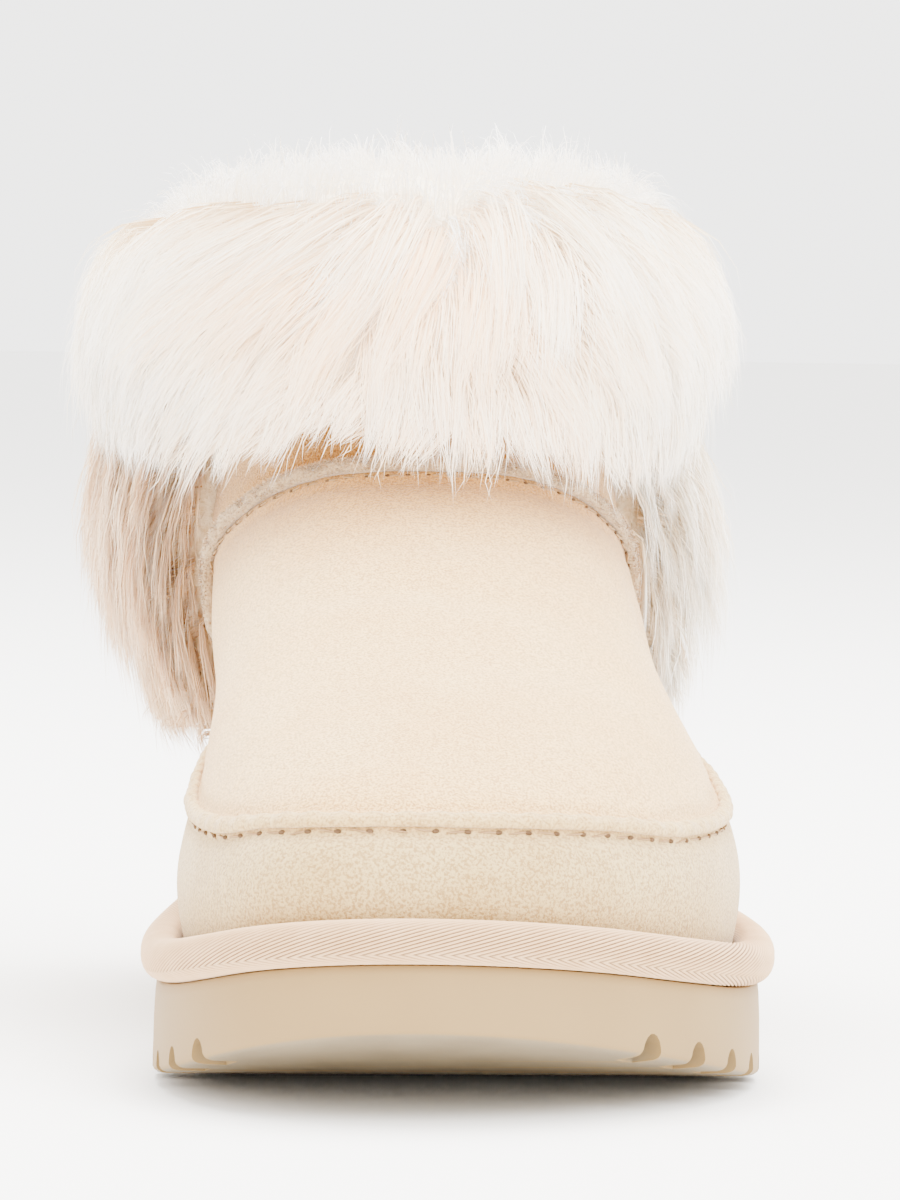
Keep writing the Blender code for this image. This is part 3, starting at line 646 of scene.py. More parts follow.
def hair_material(name, root, middle, tip, cream):
    """Washed long sheep's wool: each hair is warmer at its root and palest at its tip, and darker at its
    root as painted shade for the depth of the fur.

    Along the UV's height the colour goes from root to tip, and across it the hairs go from cream to white.
    """
    made, tree, shader = start_material(name, 0.6, 0.6, 0.5, 0.2)
    uv = add_node(tree, "ShaderNodeUVMap", {"uv_map": "OFBake"}).outputs["UV"]
    parts = add_node(tree, "ShaderNodeSeparateXYZ", inputs={"Vector": uv})
    # painted shade in part: the root's darker colour stands for the shade deep in the fur
    white = add_node(
        tree, "ShaderNodeValToRGB", inputs={"Fac": parts.outputs["Y"]},
        stops=((0.05, root), (0.42, middle), (0.9, tip)),
    ).outputs["Color"]
    warm = add_node(tree, "ShaderNodeMix", TINT, {0: 1.0, 6: white, 7: linear(cream)}).outputs[2]
    body = add_node(tree, "ShaderNodeMix", BLEND, {0: parts.outputs["X"], 6: warm, 7: white})
    tree.links.new(body.outputs[2], shader.inputs["Base Color"])
    return made


def mesh_piece(name, points, faces, material, smooth=True, uv=None, attributes=()):
    """A mesh object from arrays, with an optional UV per corner and named values per point."""
    mesh = bpy.data.meshes.new(name)
    lengths = np.array([len(f) for f in faces]) if isinstance(faces, list) else None
    if lengths is None:
        corners, lengths = faces.ravel(), np.full(len(faces), faces.shape[1])
    else:
        corners = np.concatenate([np.asarray(f) for f in faces])
    fill_mesh(mesh, points, corners, lengths, smooth)
    if uv is not None:
        layer = mesh.uv_layers.new(name="OFBake")
        layer.uv.foreach_set("vector", np.asarray(uv, np.float32).ravel())
    for title, values in dict(attributes).items():
        made = mesh.attributes.new(title, "FLOAT", "POINT")
        made.data.foreach_set("value", np.asarray(values, np.float32).ravel())
    mesh.materials.append(material)
    piece = bpy.data.objects.new(name, mesh)
    bpy.context.scene.collection.objects.link(piece)
    return piece


def fill_mesh(mesh, points, corners, lengths, smooth):
    """Writes points in metres, and faces as corners with their lengths, into a mesh."""
    starts = np.concatenate([[0], np.cumsum(lengths)[:-1]])
    mesh.vertices.add(len(points))
    mesh.vertices.foreach_set("co", np.asarray(points, np.float32).ravel())
    mesh.loops.add(len(corners))
    mesh.loops.foreach_set("vertex_index", np.asarray(corners, np.int32))
    mesh.polygons.add(len(lengths))
    mesh.polygons.foreach_set("loop_start", starts.astype(np.int32))
    mesh.polygons.foreach_set("use_smooth", np.full(len(lengths), smooth))
    mesh.update(calc_edges=True)
    mesh.validate()


def walked_along(points):
    """Distance walked to each point of a line."""
    return np.concatenate([[0.0], np.cumsum(np.linalg.norm(np.diff(points, axis=0), axis=1))])


def grid_faces(rows, columns, wrap_rows, wrap_columns):
    """Quads over a grid of points numbered row by row."""
    row = np.arange(rows if wrap_rows else rows - 1)
    col = np.arange(columns if wrap_columns else columns - 1)
    r, c = np.meshgrid(row, col, indexing="ij")
    r2, c2 = (r + 1) % rows, (c + 1) % columns
    corners = (r * columns + c, r * columns + c2, r2 * columns + c2, r2 * columns + c)
    return np.stack(corners, -1).reshape(-1, 4)


def face_out(piece):
    """Turns a closed piece's faces to point outwards."""
    bm = bmesh.new()
    bm.from_mesh(piece.data)
    bmesh.ops.recalc_face_normals(bm, faces=bm.faces)
    bm.to_mesh(piece.data)
    bm.free()
    return piece


def creases(points):
    """Depth of the listed creases at points on the upper."""
    depth = np.zeros(points.shape[:-1])
    for row in CREASES:
        crease = dict(zip(CREASE_COLUMNS, row))
        run = np.array([crease["run_along"], crease["run_across"], crease["run_height"]])
        run /= np.linalg.norm(run)
        away = points - np.array([crease["along"], crease["across"], crease["height"]])
        lengthways = away @ run
        sideways = np.linalg.norm(away - lengthways[..., None] * run, axis=-1)
        depth += crease["depth"] * np.exp(
            -((lengthways / crease["reach"]) ** 2) - (sideways / crease["width"]) ** 2
        )
    return depth


def suede_relief(around, points):
    """How far the suede stands out from the plain shape, in millimetres."""
    along, across, height = points[..., 0], points[..., 1], points[..., 2]
    above_apron = height - apron_height(along)
    on_apron = np.clip((along - 108) / 12, 0, 1)
    beside_apron = np.exp(-(((np.abs(above_apron) - 2.1) / 1.0) ** 2)) * on_apron
    above_collar = height - collar_height(around)
    on_collar = np.clip((0.26 - np.abs(around - 0.5)) / 0.03, 0, 1)
    beside_collar = np.exp(-(((np.abs(above_collar) - 2.4) / 1.2) ** 2)) * on_collar
    swell = 0.5 * np.exp(-(((above_collar + 10) / 6) ** 2)) * on_collar
    pucker = np.sin(2 * np.pi * (across + 0.6 * along) / STITCH_PITCH)
    gathers = 0.10 * pucker * np.exp(-(((above_apron - 4.5) / 2.6) ** 2)) * on_apron
    rand_step = 0.35 / (1 + np.exp(np.clip(above_apron / 0.8, -30, 30))) * on_apron
    waves = 0.28 * smooth_noise(5, 16, points / 17.0) + 0.10 * smooth_noise(6, 16, points / 6.0)
    quiet = np.clip((height - ledge_height(along) - 7) / 8, 0, 1)
    return (
        quiet * (waves + swell + rand_step)
        + gathers
        - 0.45 * beside_apron
        - 0.55 * beside_collar
        - creases(points)
    )


def make_upper(suede):
    """The suede upper with its creases, seam hollows and puckers, as one closed wall."""
    around = even_columns(UPPER_COLUMNS)
    outside = np.linspace(0, 1, UPPER_ROWS)
    plain = bridge_toe(around, upper_point(around[None], outside[:, None]))
    relief = suede_relief(np.broadcast_to(around, plain.shape[:2]), plain)
    relief *= np.clip(outside / 0.02, 0, 1)[:, None]
    stack = plain + outward(plain) * relief[..., None]
    inside = np.linspace(1, 0, INSIDE_ROWS)
    inner = bridge_toe(around, upper_point(around[None], inside[:, None]))
    inner = inner + (WALL - 0.1) * outward(inner)
    stack = np.concatenate([stack, inner])
    above = stack[..., 2] - apron_height(stack[..., 0])
    panel = 1 / (1 + np.exp(np.clip((above + 1) / 0.7, -30, 30)))
    # painted shade: full on the shaft above the collar seam, fading over about 11 mm below it, towards the
    # front only
    below = np.minimum(stack[..., 2] - collar_height(np.broadcast_to(around, stack.shape[:2])), 0.0)
    painted_fur_shade = np.exp(-((below / 11.0) ** 2)) * np.clip(stack[..., 0] / 60 - 1.2, 0, 1)
    faces = grid_faces(*stack.shape[:2], True, True)
    piece = mesh_piece(
        "upper_suede", world(stack).reshape(-1, 3), faces, suede,
        attributes={"panel": panel, "painted_fur_shade": painted_fur_shade},
    )
    return face_out(piece)


def make_lining(fleece):
    """Clipped fleece inside the leg and foot, with its curls raised."""
    around = even_columns(160)
    rise = np.linspace(0.04, 0.985, 62)
    plain = bridge_toe(around, upper_point(around[None], rise[:, None]))
    normal = outward(plain)
    wall = plain - WALL * normal
    curls = 0.9 * np.abs(smooth_noise(11, 32, wall / 3.0)) + 0.4 * smooth_noise(12, 32, wall / 1.7)
    inner = wall - (0.35 + curls)[..., None] * normal
    back = (wall + 0.05 * normal)[::-1]
    stack = np.concatenate([inner, back[::3]])
    faces = grid_faces(*stack.shape[:2], True, True)
    return face_out(mesh_piece("fleece_lining", world(stack).reshape(-1, 3), faces, fleece))


def sole_rows(rows, points):
    """Loops of the sole from rows with the columns of SOLE_COLUMNS."""
    loops = []
    for inset, above_tread, towards_ledge, above_ledge in rows:
        along, across = edge_loop(inset, points)
        bottom = tread_height(along) + above_tread
        height = bottom + towards_ledge * (ledge_height(along) - bottom) + above_ledge
        loops.append(np.stack([along, across, height], -1))
    return np.array(loops)


def capped(stack):
    """Faces of stacked loops with strips from side to side at bottom and top."""
    rows, columns = stack.shape[:2]
    faces = [list(f) for f in grid_faces(rows, columns, False, True)]
    for base in (0, (rows - 1) * columns):
        for k in range(columns // 2):
            corners = dict.fromkeys(
                base + c for c in (k, k + 1, columns - k - 1, (columns - k) % columns)
            )
            faces.append(list(corners))
    return faces


def make_sole(rubber):
    """The moulded sole: crisp lower edge, notched all round, with a grooved tread."""
    stack = sole_rows(SOLE_ROWS, 360)
    # painted shade: the tread's loops, and the cut faces of notches and grooves, take the darker underside
    # colour
    under = np.zeros(stack.shape[:2])
    under[:TREAD_ROWS] = 1.0
    piece = mesh_piece(
        "sole_unit", world(stack).reshape(-1, 3), capped(stack), rubber, attributes={"under": under}
    )
    face_out(piece)
    cutters = []
    for side in (0, 1):
        edge = outline_sides(0.0)[side][::-1]
        walked = walked_along(edge)
        for distance in np.arange(NOTCH_FIRST, walked[-1], NOTCH_SPACING):
            here = np.array([np.interp(distance, walked, edge[:, k]) for k in (0, 1)])
            ahead = np.array([np.interp(distance + 1.0, walked, edge[:, k]) for k in (0, 1)])
            if here[0] < NOTCH_LAST:
                break
            run = ahead - here
            turn = math.atan2(-run[0], run[1]) + math.pi / 2
            at = world([here[0], here[1], tread_height(here[0])])
            cutters.append(cylinder(at, NOTCH_WIDTH / 2, NOTCH_HEIGHT, 2 * NOTCH_DEPTH, turn, rubber))
    for along in HEEL_GROOVES + BALL_GROOVES:
        outer, inner = outline_sides(GROOVE_MARGIN)
        right = np.interp(along, outer[:, 0], outer[:, 1])
        left = np.interp(along, inner[:, 0], inner[:, 1])
        at = world([along, (right + left) / 2, tread_height(np.array(along))])
        cutters.append(cylinder(at, GROOVE_WIDTH / 2, GROOVE_DEPTH, right - left, 0.0, rubber))
    tools = bpy.data.collections.new("tread_cutters")
    for cutter in cutters:
        tools.objects.link(cutter)
    cut = piece.modifiers.new("tread", "BOOLEAN")
    cut.operation, cut.operand_type, cut.collection = "DIFFERENCE", "COLLECTION", tools
    settle(piece)
    for cutter in cutters:
        bpy.data.objects.remove(cutter)
    piece.data.shade_smooth()
    piece.data.set_sharp_from_angle(angle=math.radians(35))
    return piece


def cylinder(at, half_width, height, length, turn, finish):
    """A lying cylinder used to cut the tread; its cut faces take the tread's painted shade, darker inside
    the notches and grooves.
    """
    bm = bmesh.new()
    bmesh.ops.create_cone(
        bm, cap_ends=True, segments=18, depth=length * MM,
        radius1=half_width * MM, radius2=half_width * MM,
    )
    mesh = bpy.data.meshes.new("cutter")
    bm.to_mesh(mesh)
    bm.free()
    under = mesh.attributes.new("under", "FLOAT", "POINT")
    under.data.foreach_set("value", np.ones(len(mesh.vertices), np.float32))
    mesh.materials.append(finish)
    made = bpy.data.objects.new("cutter", mesh)
    made.scale = (height / half_width, 1.0, 1.0)
    made.rotation_euler = (0.0, math.pi / 2, turn)
    made.location = at
    return made


def settle(piece):
    """Turns a piece's modifiers into plain mesh."""
    bpy.context.view_layer.update()
    deps = bpy.context.evaluated_depsgraph_get()
    plain = bpy.data.meshes.new_from_object(
        piece.evaluated_get(deps), preserve_all_data_layers=True, depsgraph=deps
    )
    piece.modifiers.clear()
    piece.data = plain
    return piece


def make_welt(twill):
    """The padded welt in its tape: slanting ribs that turn back in a herringbone low on the edge."""
    middle = (FEATHER_INSET - GAP - WELT_OVERHANG) / 2
    reach = (FEATHER_INSET - GAP + WELT_OVERHANG) / 2 - 0.15
    outer, inner = outline_sides(middle)
    loop = np.vstack([outer, inner[::-1][1:]])
    walked = walked_along(loop)
    girth = walked[-1]
    columns = 4 * int(round(girth / RIB_PITCH))
    start = np.arange(columns) / columns * girth
    angles = -0.16 * np.pi + np.linspace(0, 2 * np.pi, 29)
    sideways = np.sign(np.cos(angles)) * np.abs(np.cos(angles)) ** (2 / 2.4) * reach
    upward = np.sign(np.sin(angles)) * np.abs(np.sin(angles)) ** (2 / 2.4) * (TAPE_HEIGHT / 2 - 0.15)
    arc = walked_along(np.stack([sideways, upward], -1))
    shift = TAPE_SLANT * np.minimum(arc, arc[-1] - arc)[:-1]
    angles, sideways, upward = angles[:-1], sideways[:-1], upward[:-1]
    place = (start[None, :] - shift[:, None]) % girth

    def on_loop(distance):
        """Point of the welt's middle line at a distance walked round it."""
        return np.stack([np.interp(distance % girth, walked, loop[:, k]) for k in (0, 1)], -1)

    here = on_loop(place)
    run = on_loop(place + 0.6) - on_loop(place - 0.6)
    run /= np.linalg.norm(run, axis=-1)[..., None]
    out = np.stack([-run[..., 1], run[..., 0]], -1)
    crest = np.tile([-0.26, 0.08, 0.20, 0.08], columns // 4)
    facing = np.stack([np.cos(angles), np.sin(angles)], -1)
    rib = crest[None, :] * np.clip(1.6 + 2 * facing[:, :1], 0, 1)
    side = sideways[:, None] + rib * facing[:, :1]
    height = 0.1 + TAPE_HEIGHT / 2 + upward[:, None] + rib * facing[:, 1:]
    points = np.concatenate(
        [here + out * side[..., None], (ledge_height(here[..., 0]) + height)[..., None]], -1
    )
    # painted shade: marks the furrows between the ribs for their darker colour
    furrow_shade = np.broadcast_to((crest < -0.1).astype(float), place.shape)
    faces = grid_faces(*place.shape, True, True)
    piece = mesh_piece(
        "welt_tape", world(points).reshape(-1, 3), faces, twill, attributes={"furrow_shade": furrow_shade}
    )
    return face_out(piece)


def make_insole(fleece):
    """The fleece footbed, its pile raised in small curls."""
    edge, floor = FEATHER_INSET + WALL + GAP, PLATFORM_HEIGHT + GAP
    insets, heights = (column(FOOTBED_ROWS, FOOTBED_COLUMNS, name) for name in FOOTBED_COLUMNS)
    loops = [(edge + inset, 0.0, 1.0, floor + above) for inset, above in zip(insets, heights)]
    stack = sole_rows(loops, 240)
    curls = 0.5 * np.abs(smooth_noise(13, 32, stack / 3.2)) - 0.25
    stack[2:, :, 2] += curls[2:]
    return face_out(mesh_piece("fleece_footbed", world(stack).reshape(-1, 3), capped(stack), fleece))


def seam_line(name, samples):
    """Points, normals and sideways directions along one of the two raised seams."""
    if name == "apron":
        around = np.linspace(0.237, 0.763, samples)
        rise = rise_where(around, apron_height)
    else:
        around = np.linspace(0.251, 0.749, samples)
        rise = rise_where(around, lambda along: collar_height(around))
    points = bridge_toe(around, upper_point(around, rise))
    normals = bridge_toe(around, upper_normal(around, rise))
    normals /= np.linalg.norm(normals, axis=1)[:, None]
    tangents = np.gradient(points, axis=0)
    tangents /= np.linalg.norm(tangents, axis=1)[:, None]
    relief = suede_relief(around, points)[:, None]
    return points + normals * relief, normals, tangents, np.cross(normals, tangents)


def make_apron_ridge(suede):
    """The folded suede edge of the vamp, pinched where each stitch draws it down."""
    points, normals, _, sides = seam_line("apron", 620)
    walked = walked_along(points)
    pull = 0.5 + 0.5 * np.cos(2 * np.pi * walked / STITCH_PITCH)
    ripple = smooth_noise(21, 64, np.stack([walked / 7.0, walked * 0], -1))
    angles = np.linspace(0, 2 * np.pi, 15)[:-1]
    half = APRON_RIDGE_HALF + 0.12 * ripple
    tall = APRON_RIDGE_TALL - 0.22 * pull + 0.15 * ripple
    across = np.cos(angles)[None, :] * half[:, None]
    lower = np.clip(-np.cos(angles), 0, 1)[None, :] * pull[:, None]
    lift = (0.05 + (0.5 + 0.5 * np.sin(angles))[None, :]) * tall[:, None] - 0.45 * lower
    rounded = 1 - 0.12 * np.clip(-np.sin(angles), 0, 1)
    # painted shade: the ridge is tinted most of the way to the rand's darker colour, because it catches
    # more light than the vamp
    panel = np.full(len(points) * len(angles) + 2, 0.75)
    stack = (
        points[:, None]
        + sides[:, None] * (across * rounded)[..., None]
        + normals[:, None] * (lift - 0.45)[..., None]
    )
    return face_out(tube("apron_ridge", stack, suede, {"panel": panel}))


def tube(name, stack, material, attributes=()):
    """A strip through closed sections, with a fan at each end."""
    rows, columns = stack.shape[:2]
    faces = [list(f) for f in grid_faces(rows, columns, False, True)]
    ends = [stack[0].mean(0), stack[-1].mean(0)]
    points = np.concatenate([stack.reshape(-1, 3), ends])
    for base, tip in ((0, rows * columns), ((rows - 1) * columns, rows * columns + 1)):
        for k in range(columns):
            faces.append([base + k, base + (k + 1) % columns, tip])
    return mesh_piece(name, world(points), faces, material, attributes=attributes)


def make_collar_ridge(fleece):
    """The turned-out edge where vamp meets shaft, showing its fleece."""
    points, normals, _, sides = seam_line("collar", 520)
    walked = walked_along(points)
    ripple = smooth_noise(31, 64, np.stack([walked / 3.0, walked * 0], -1))
    angles = np.linspace(0, 2 * np.pi, 15)[:-1]
    half = COLLAR_RIDGE_HALF + 0.2 * ripple
    bobbles = smooth_noise(32, 64, np.stack([walked / 2.2, walked * 0], -1))
    tall = COLLAR_RIDGE_TALL + 0.3 * bobbles
    across = np.cos(angles)[None, :] * half[:, None]
    lift = (0.5 + 0.5 * np.sin(angles))[None, :] * tall[:, None] - 0.3
    stack = points[:, None] + sides[:, None] * across[..., None] + normals[:, None] * lift[..., None]
    return face_out(tube("collar_ridge", stack, fleece))


def path_piece(name, points):
    """A line of edges through points given in millimetres, for a Geometry Nodes tree to follow."""
    mesh = bpy.data.meshes.new(name)
    mesh.from_pydata(world(points).tolist(), [(k, k + 1) for k in range(len(points) - 1)], [])
    piece = bpy.data.objects.new(name, mesh)
    bpy.context.scene.collection.objects.link(piece)
    return piece


def stitch_tree():
    """Geometry Nodes: one stretched bead at each pitch along a line, as a stitch or a needle hole."""
    tree = bpy.data.node_groups.new("stitches_along_line", "GeometryNodeTree")
    face = tree.interface
    face.new_socket("Geometry", in_out="INPUT", socket_type="NodeSocketGeometry")
    for title in ("Pitch", "Length", "Thickness", "Wander"):
        face.new_socket(title, in_out="INPUT", socket_type="NodeSocketFloat")
    face.new_socket("Seed", in_out="INPUT", socket_type="NodeSocketInt")
    face.new_socket("Finish", in_out="INPUT", socket_type="NodeSocketMaterial")
    face.new_socket("Geometry", in_out="OUTPUT", socket_type="NodeSocketGeometry")
    given = add_node(tree, "NodeGroupInput").outputs
    line = add_node(tree, "GeometryNodeMeshToCurve", inputs={"Mesh": given["Geometry"]})
    spaced = add_node(
        tree, "GeometryNodeCurveToPoints", {"mode": "LENGTH"},
        {"Curve": line.outputs["Curve"], "Length": given["Pitch"]},
    )
    bead = add_node(tree, "GeometryNodeMeshUVSphere", inputs={"Segments": 8, "Rings": 6, "Radius": 0.5})
    size = add_node(
        tree, "ShaderNodeCombineXYZ",
        inputs={"X": given["Thickness"], "Y": given["Thickness"], "Z": given["Length"]},
    )
    swing = add_node(
        tree, "FunctionNodeRandomValue", {"data_type": "FLOAT_VECTOR"}, {"Seed": given["Seed"]}
    )
    swing.inputs[0].default_value = (-1.0, -1.0, -1.0)
    swing.inputs[1].default_value = (1.0, 1.0, 1.0)
    lean = add_node(
        tree, "ShaderNodeVectorMath", {"operation": "SCALE"},
        {"Vector": swing.outputs[0], "Scale": given["Wander"]},
    )
    turned = add_node(
        tree, "FunctionNodeRotateRotation", {"rotation_space": "LOCAL"},
        {"Rotation": spaced.outputs["Rotation"]},
    )
    as_turn = add_node(tree, "FunctionNodeEulerToRotation", inputs={"Euler": lean.outputs["Vector"]})
    tree.links.new(as_turn.outputs["Rotation"], turned.inputs[1])
    placed = add_node(
        tree, "GeometryNodeInstanceOnPoints",
        inputs={
            "Points": spaced.outputs["Points"], "Instance": bead.outputs["Mesh"],
            "Rotation": turned.outputs["Rotation"], "Scale": size.outputs["Vector"],
        },
    )
    real = add_node(tree, "GeometryNodeRealizeInstances", inputs={"Geometry": placed.outputs["Instances"]})
    done = add_node(
        tree, "GeometryNodeSetMaterial",
        inputs={"Geometry": real.outputs["Geometry"], "Material": given["Finish"]},
    )
    add_node(tree, "NodeGroupOutput", inputs={"Geometry": done.outputs["Geometry"]})
    return tree


def run_tree(piece, tree, values):
    """Runs a Geometry Nodes tree on a piece with named inputs, and keeps its plain mesh."""
    use = piece.modifiers.new("made", "NODES")
    use.node_group = tree
    sockets = {s.name: s.identifier for s in tree.interface.items_tree if s.in_out == "INPUT"}
    for title, value in values.items():
        use[sockets[title]] = value
    settle(piece)
    piece.data.shade_smooth()
    return piece


def beside_seam(name, samples, away, lift):
    """A line beside a raised seam, on its lower side, seated on the suede's relief."""
    points, normals, _, sides = seam_line(name, samples)
    lower = points - sides * np.sign(sides[:, 2:3]) * away
    around = np.interp(np.arange(samples), [0, samples - 1], [0.24, 0.76])
    sunk = suede_relief(around, lower) - suede_relief(around, points)
    return lower + normals * (sunk + lift)[:, None]


def half_pitch_on(line, pitch):
    """The same line begun half a stitch further on."""
    walked = walked_along(line)
    return np.stack([np.interp(walked + pitch / 2, walked, line[:, k]) for k in range(3)], -1)


def make_stitches(thread, hole):
    """Stitches and needle holes below both ridges, and the rows that close the sides and heel."""
    tree = stitch_tree()
    apron = beside_seam("apron", 1400, 1.9, 0.0)
    collar, above = beside_seam("collar", 1000, 1.75, 0.0), beside_seam("collar", 1000, -1.6, 0.1)
    rows = (  # name, line, pitch, length, thickness, finish
        ("apron_stitches", apron, STITCH_PITCH, 4.7, 0.42, thread),
        ("apron_needle_holes", half_pitch_on(apron, STITCH_PITCH), STITCH_PITCH, 1.3, 0.8, hole),
        ("collar_stitches", collar, COLLAR_STITCH_PITCH, 2.9, 0.42, thread),
        (
            "collar_needle_holes", half_pitch_on(collar, COLLAR_STITCH_PITCH), COLLAR_STITCH_PITCH,
            0.9, 0.5, hole,
        ),
        ("collar_edge_stitches", above, 4.3, 2.2, 0.5, thread),
    )
    for number, place in enumerate(CLOSING_SEAMS):
        around = np.full(80, place)
        rise = np.linspace(0.05, 0.22, 80)
        point, normal = upper_point(around, rise), upper_normal(around, rise)
        line = point + normal * (suede_relief(around, point) + 0.1)[:, None]
        rows += ((f"closing_stitches_{number + 1}", line, CLOSING_STITCH_PITCH, 2.3, 0.5, thread),)
    made = []
    for number, (name, line, pitch, length, thickness, finish) in enumerate(rows):
        piece = path_piece(name, line)
        run_tree(piece, tree, {
            "Pitch": pitch * MM, "Length": length * MM, "Thickness": thickness * MM,
            "Wander": 0.22, "Seed": number + 3, "Finish": finish,
        })
        made.append(piece)
    return made


def bezier(controls, share):
    """Points of cubic curves: controls (n, 4, 3), share (n, k)."""
    t = share[..., None]
    c = controls[:, None]
    return (
        (1 - t) ** 3 * c[..., 0, :]
        + 3 * (1 - t) ** 2 * t * c[..., 1, :]
        + 3 * (1 - t) * t ** 2 * c[..., 2, :]
        + t ** 3 * c[..., 3, :]
    )


def hair_mesh(name, paths, facing, widths, tones, random, material):
    """Flat tapering hairs along paths (n, k, 3) in millimetres, each ending in a point."""
    count, steps = paths.shape[:2]
    tangent = np.gradient(paths, axis=1)
    tangent /= np.linalg.norm(tangent, axis=-1)[..., None] + 1e-9
    side = np.cross(tangent, facing[:, None])
    side /= np.linalg.norm(side, axis=-1)[..., None] + 1e-9
    roll = random.normal(0, 0.35, (count, 1, 1))
    side = side * np.cos(roll) + np.cross(tangent, side) * np.sin(roll)
    share = np.linspace(0, 1, steps)
    taper = (1 - share ** 1.6) * 0.5
    half = widths[:, None] * taper[None]
    left, right = paths - side * half[..., None], paths + side * half[..., None]
    body = np.stack([left[:, :-1], right[:, :-1]], 2).reshape(count, -1, 3)
    points = np.concatenate([body, paths[:, -1:]], 1)
    per = points.shape[1]
    quads = np.array([[2 * k, 2 * k + 1, 2 * k + 3, 2 * k + 2] for k in range(steps - 2)])
    tip = np.array([per - 3, per - 2, per - 1])
    corners = np.concatenate([quads.ravel(), tip])
    lengths = np.tile([4] * (steps - 2) + [3], count)
    all_corners = (corners[None] + (np.arange(count) * per)[:, None]).ravel()
    v = np.concatenate([np.repeat(share[:-1], 2), [1.0]])
    u_off = np.concatenate([np.tile([0.0, 0.012], steps - 1), [0.006]])
    uv = np.stack(
        [
            (np.clip(tones, 0, 1) * 0.985)[:, None] + u_off[corners][None],
            np.broadcast_to(v[corners][None], (count, len(corners))),
        ],
        -1,
    )
    mesh = bpy.data.meshes.new(name)
    fill_mesh(mesh, world(points).reshape(-1, 3), all_corners, lengths, True)
    layer = mesh.uv_layers.new(name="OFBake")
    layer.uv.foreach_set("vector", uv.astype(np.float32).ravel())
    mesh.materials.append(material)
    piece = bpy.data.objects.new(name, mesh)
    bpy.context.scene.collection.objects.link(piece)
    return piece


def locks_to_hairs(locks, per_lock, random, root_spread, tip_spread, stray=0.25):
    """Hairs of each lock: spread at the root, drawn together at the tip, a few of them stray."""
    pick = np.repeat(np.arange(len(locks["controls"])), per_lock)
    count = len(pick)
    controls = locks["controls"][pick].copy()
    out, side = locks["out"][pick], locks["side"][pick]
    down = np.cross(out, side)
    turn = random.uniform(0, 2 * np.pi, count)
    radius = np.sqrt(random.uniform(0, 1, count))
    disc = side * (np.cos(turn) * radius)[:, None] + down * (np.sin(turn) * radius)[:, None]
    wild = random.uniform(0, 1, count) < stray
    end = tip_spread * locks["loose"][pick] * np.where(wild, 3.5, 1.0)
    lift = out * (random.normal(0, 1, count) * np.where(wild, 1.6, 0.7))[:, None]
    root = disc * (root_spread * locks["rooting"][pick])[:, None]
    tip = disc * end[:, None] + lift
    controls[:, 0] += root
    controls[:, 1] += root * 0.95 + lift * 0.3
    controls[:, 2] += root * 0.5 + tip * 0.6
    controls[:, 3] += tip
    longest = random.uniform(0.70, 1.05, count) * np.where(wild, 1.07, 1.0)
    share = np.linspace(0, 1, HAIR_POINTS)[None] * longest[:, None]
    paths = bezier(controls, share)
    wave = random.uniform(0.3, 1.1, count) * np.where(wild, 1.4, 1.0)
    phase = random.uniform(0, 2 * np.pi, len(locks["out"]))[pick] + random.normal(0, 0.8, count)
    swing = np.sin(share * 6.5 + phase[:, None]) * wave[:, None] * share
    paths = paths + side[:, None] * swing[..., None]
    widths = random.uniform(*HAIR_WIDTH, count)
    tones = locks["tone"][pick] + random.normal(0, 0.10, count)
    facing = out + 0.3 * side * random.normal(0, 1, (count, 1))
    return paths, facing, widths, tones


def lock_frame(around, height):
    """Wall point, way out and way round at places of the leg."""
    point, out = wall_and_outward(around % 1, height)
    side = np.stack([-out[:, 1], out[:, 0], 0 * out[:, 0]], -1)
    return point, out, side


def fur_depth(rows, around, height):
    """Thickness of the fur at places of the leg, trimmed on either side."""
    plain = level_through(rows, FUR_COLUMNS, "thickness", height)
    turn = np.sin(2 * np.pi * around)
    inner = level_through(FUR_TRIM, TRIM_COLUMNS, "inner", height)
    outer = level_through(FUR_TRIM, TRIM_COLUMNS, "outer", height)
    return np.maximum(plain + np.where(turn > 0, outer, inner) * np.abs(turn) ** 1.5, 0.6)


def collar_crest(around):
    """Height of the collar's wool at its top, lower at the sides and parted in front."""
    turn = np.sin(2 * np.pi * around)
    parting = 2.5 * np.exp(-(((around - PARTING) / 0.013) ** 2))
    return FUR_CREST - 0.5 - 5.5 * turn ** 2 - 4.5 * np.clip(-turn, 0, 1) - parting


def combed_locks(rows, around, height, end_height, travel, rise_share, random, thin=None, farthest=None):
    """Locks that leave the skin outwards, turn over and lie along the fur's outline."""
    drop = height - end_height
    thin = np.ones_like(height) if thin is None else thin
    depth = fur_depth(rows, around, height) * thin
    end_around = around - travel / (2 * np.pi * (45 + depth))
    if farthest is not None:
        signed = (end_around + 0.5) % 1 - 0.5
        end_around = np.clip(signed, -farthest(end_height), farthest(end_height)) % 1
    point, out, side = lock_frame(around, height)
    end, end_out, end_side = lock_frame(end_around, end_height)
    lowest, highest = rows[0][0] + 1.5, rows[-1][0]
    end_depth = fur_depth(rows, end_around % 1, np.clip(end_height, lowest, highest)) * thin
    tuck = np.minimum(end_height - rows[0][0], 0.0) * 0.75
    up = np.array([0.0, 0.0, 1.0])
    start = point + out * (0.40 * depth)[:, None]
    stand = end_depth + 0.3 + tuck + random.normal(0, 0.6, len(around))
    finish = end + end_out * stand[:, None]
    bulge = np.maximum(depth, end_depth)
    second = start + out * (0.55 * bulge)[:, None] + up * (rise_share * drop)[:, None]
    second = second + side * (0.15 * travel)[:, None]
    third = finish + end_out * 1.5 + up * (0.42 * drop)[:, None] - end_side * (0.40 * travel)[:, None]
    return {
        "controls": np.stack([start, second, third, finish], 1), "out": out, "side": side,
        "around": around, "rooting": thin,
    }


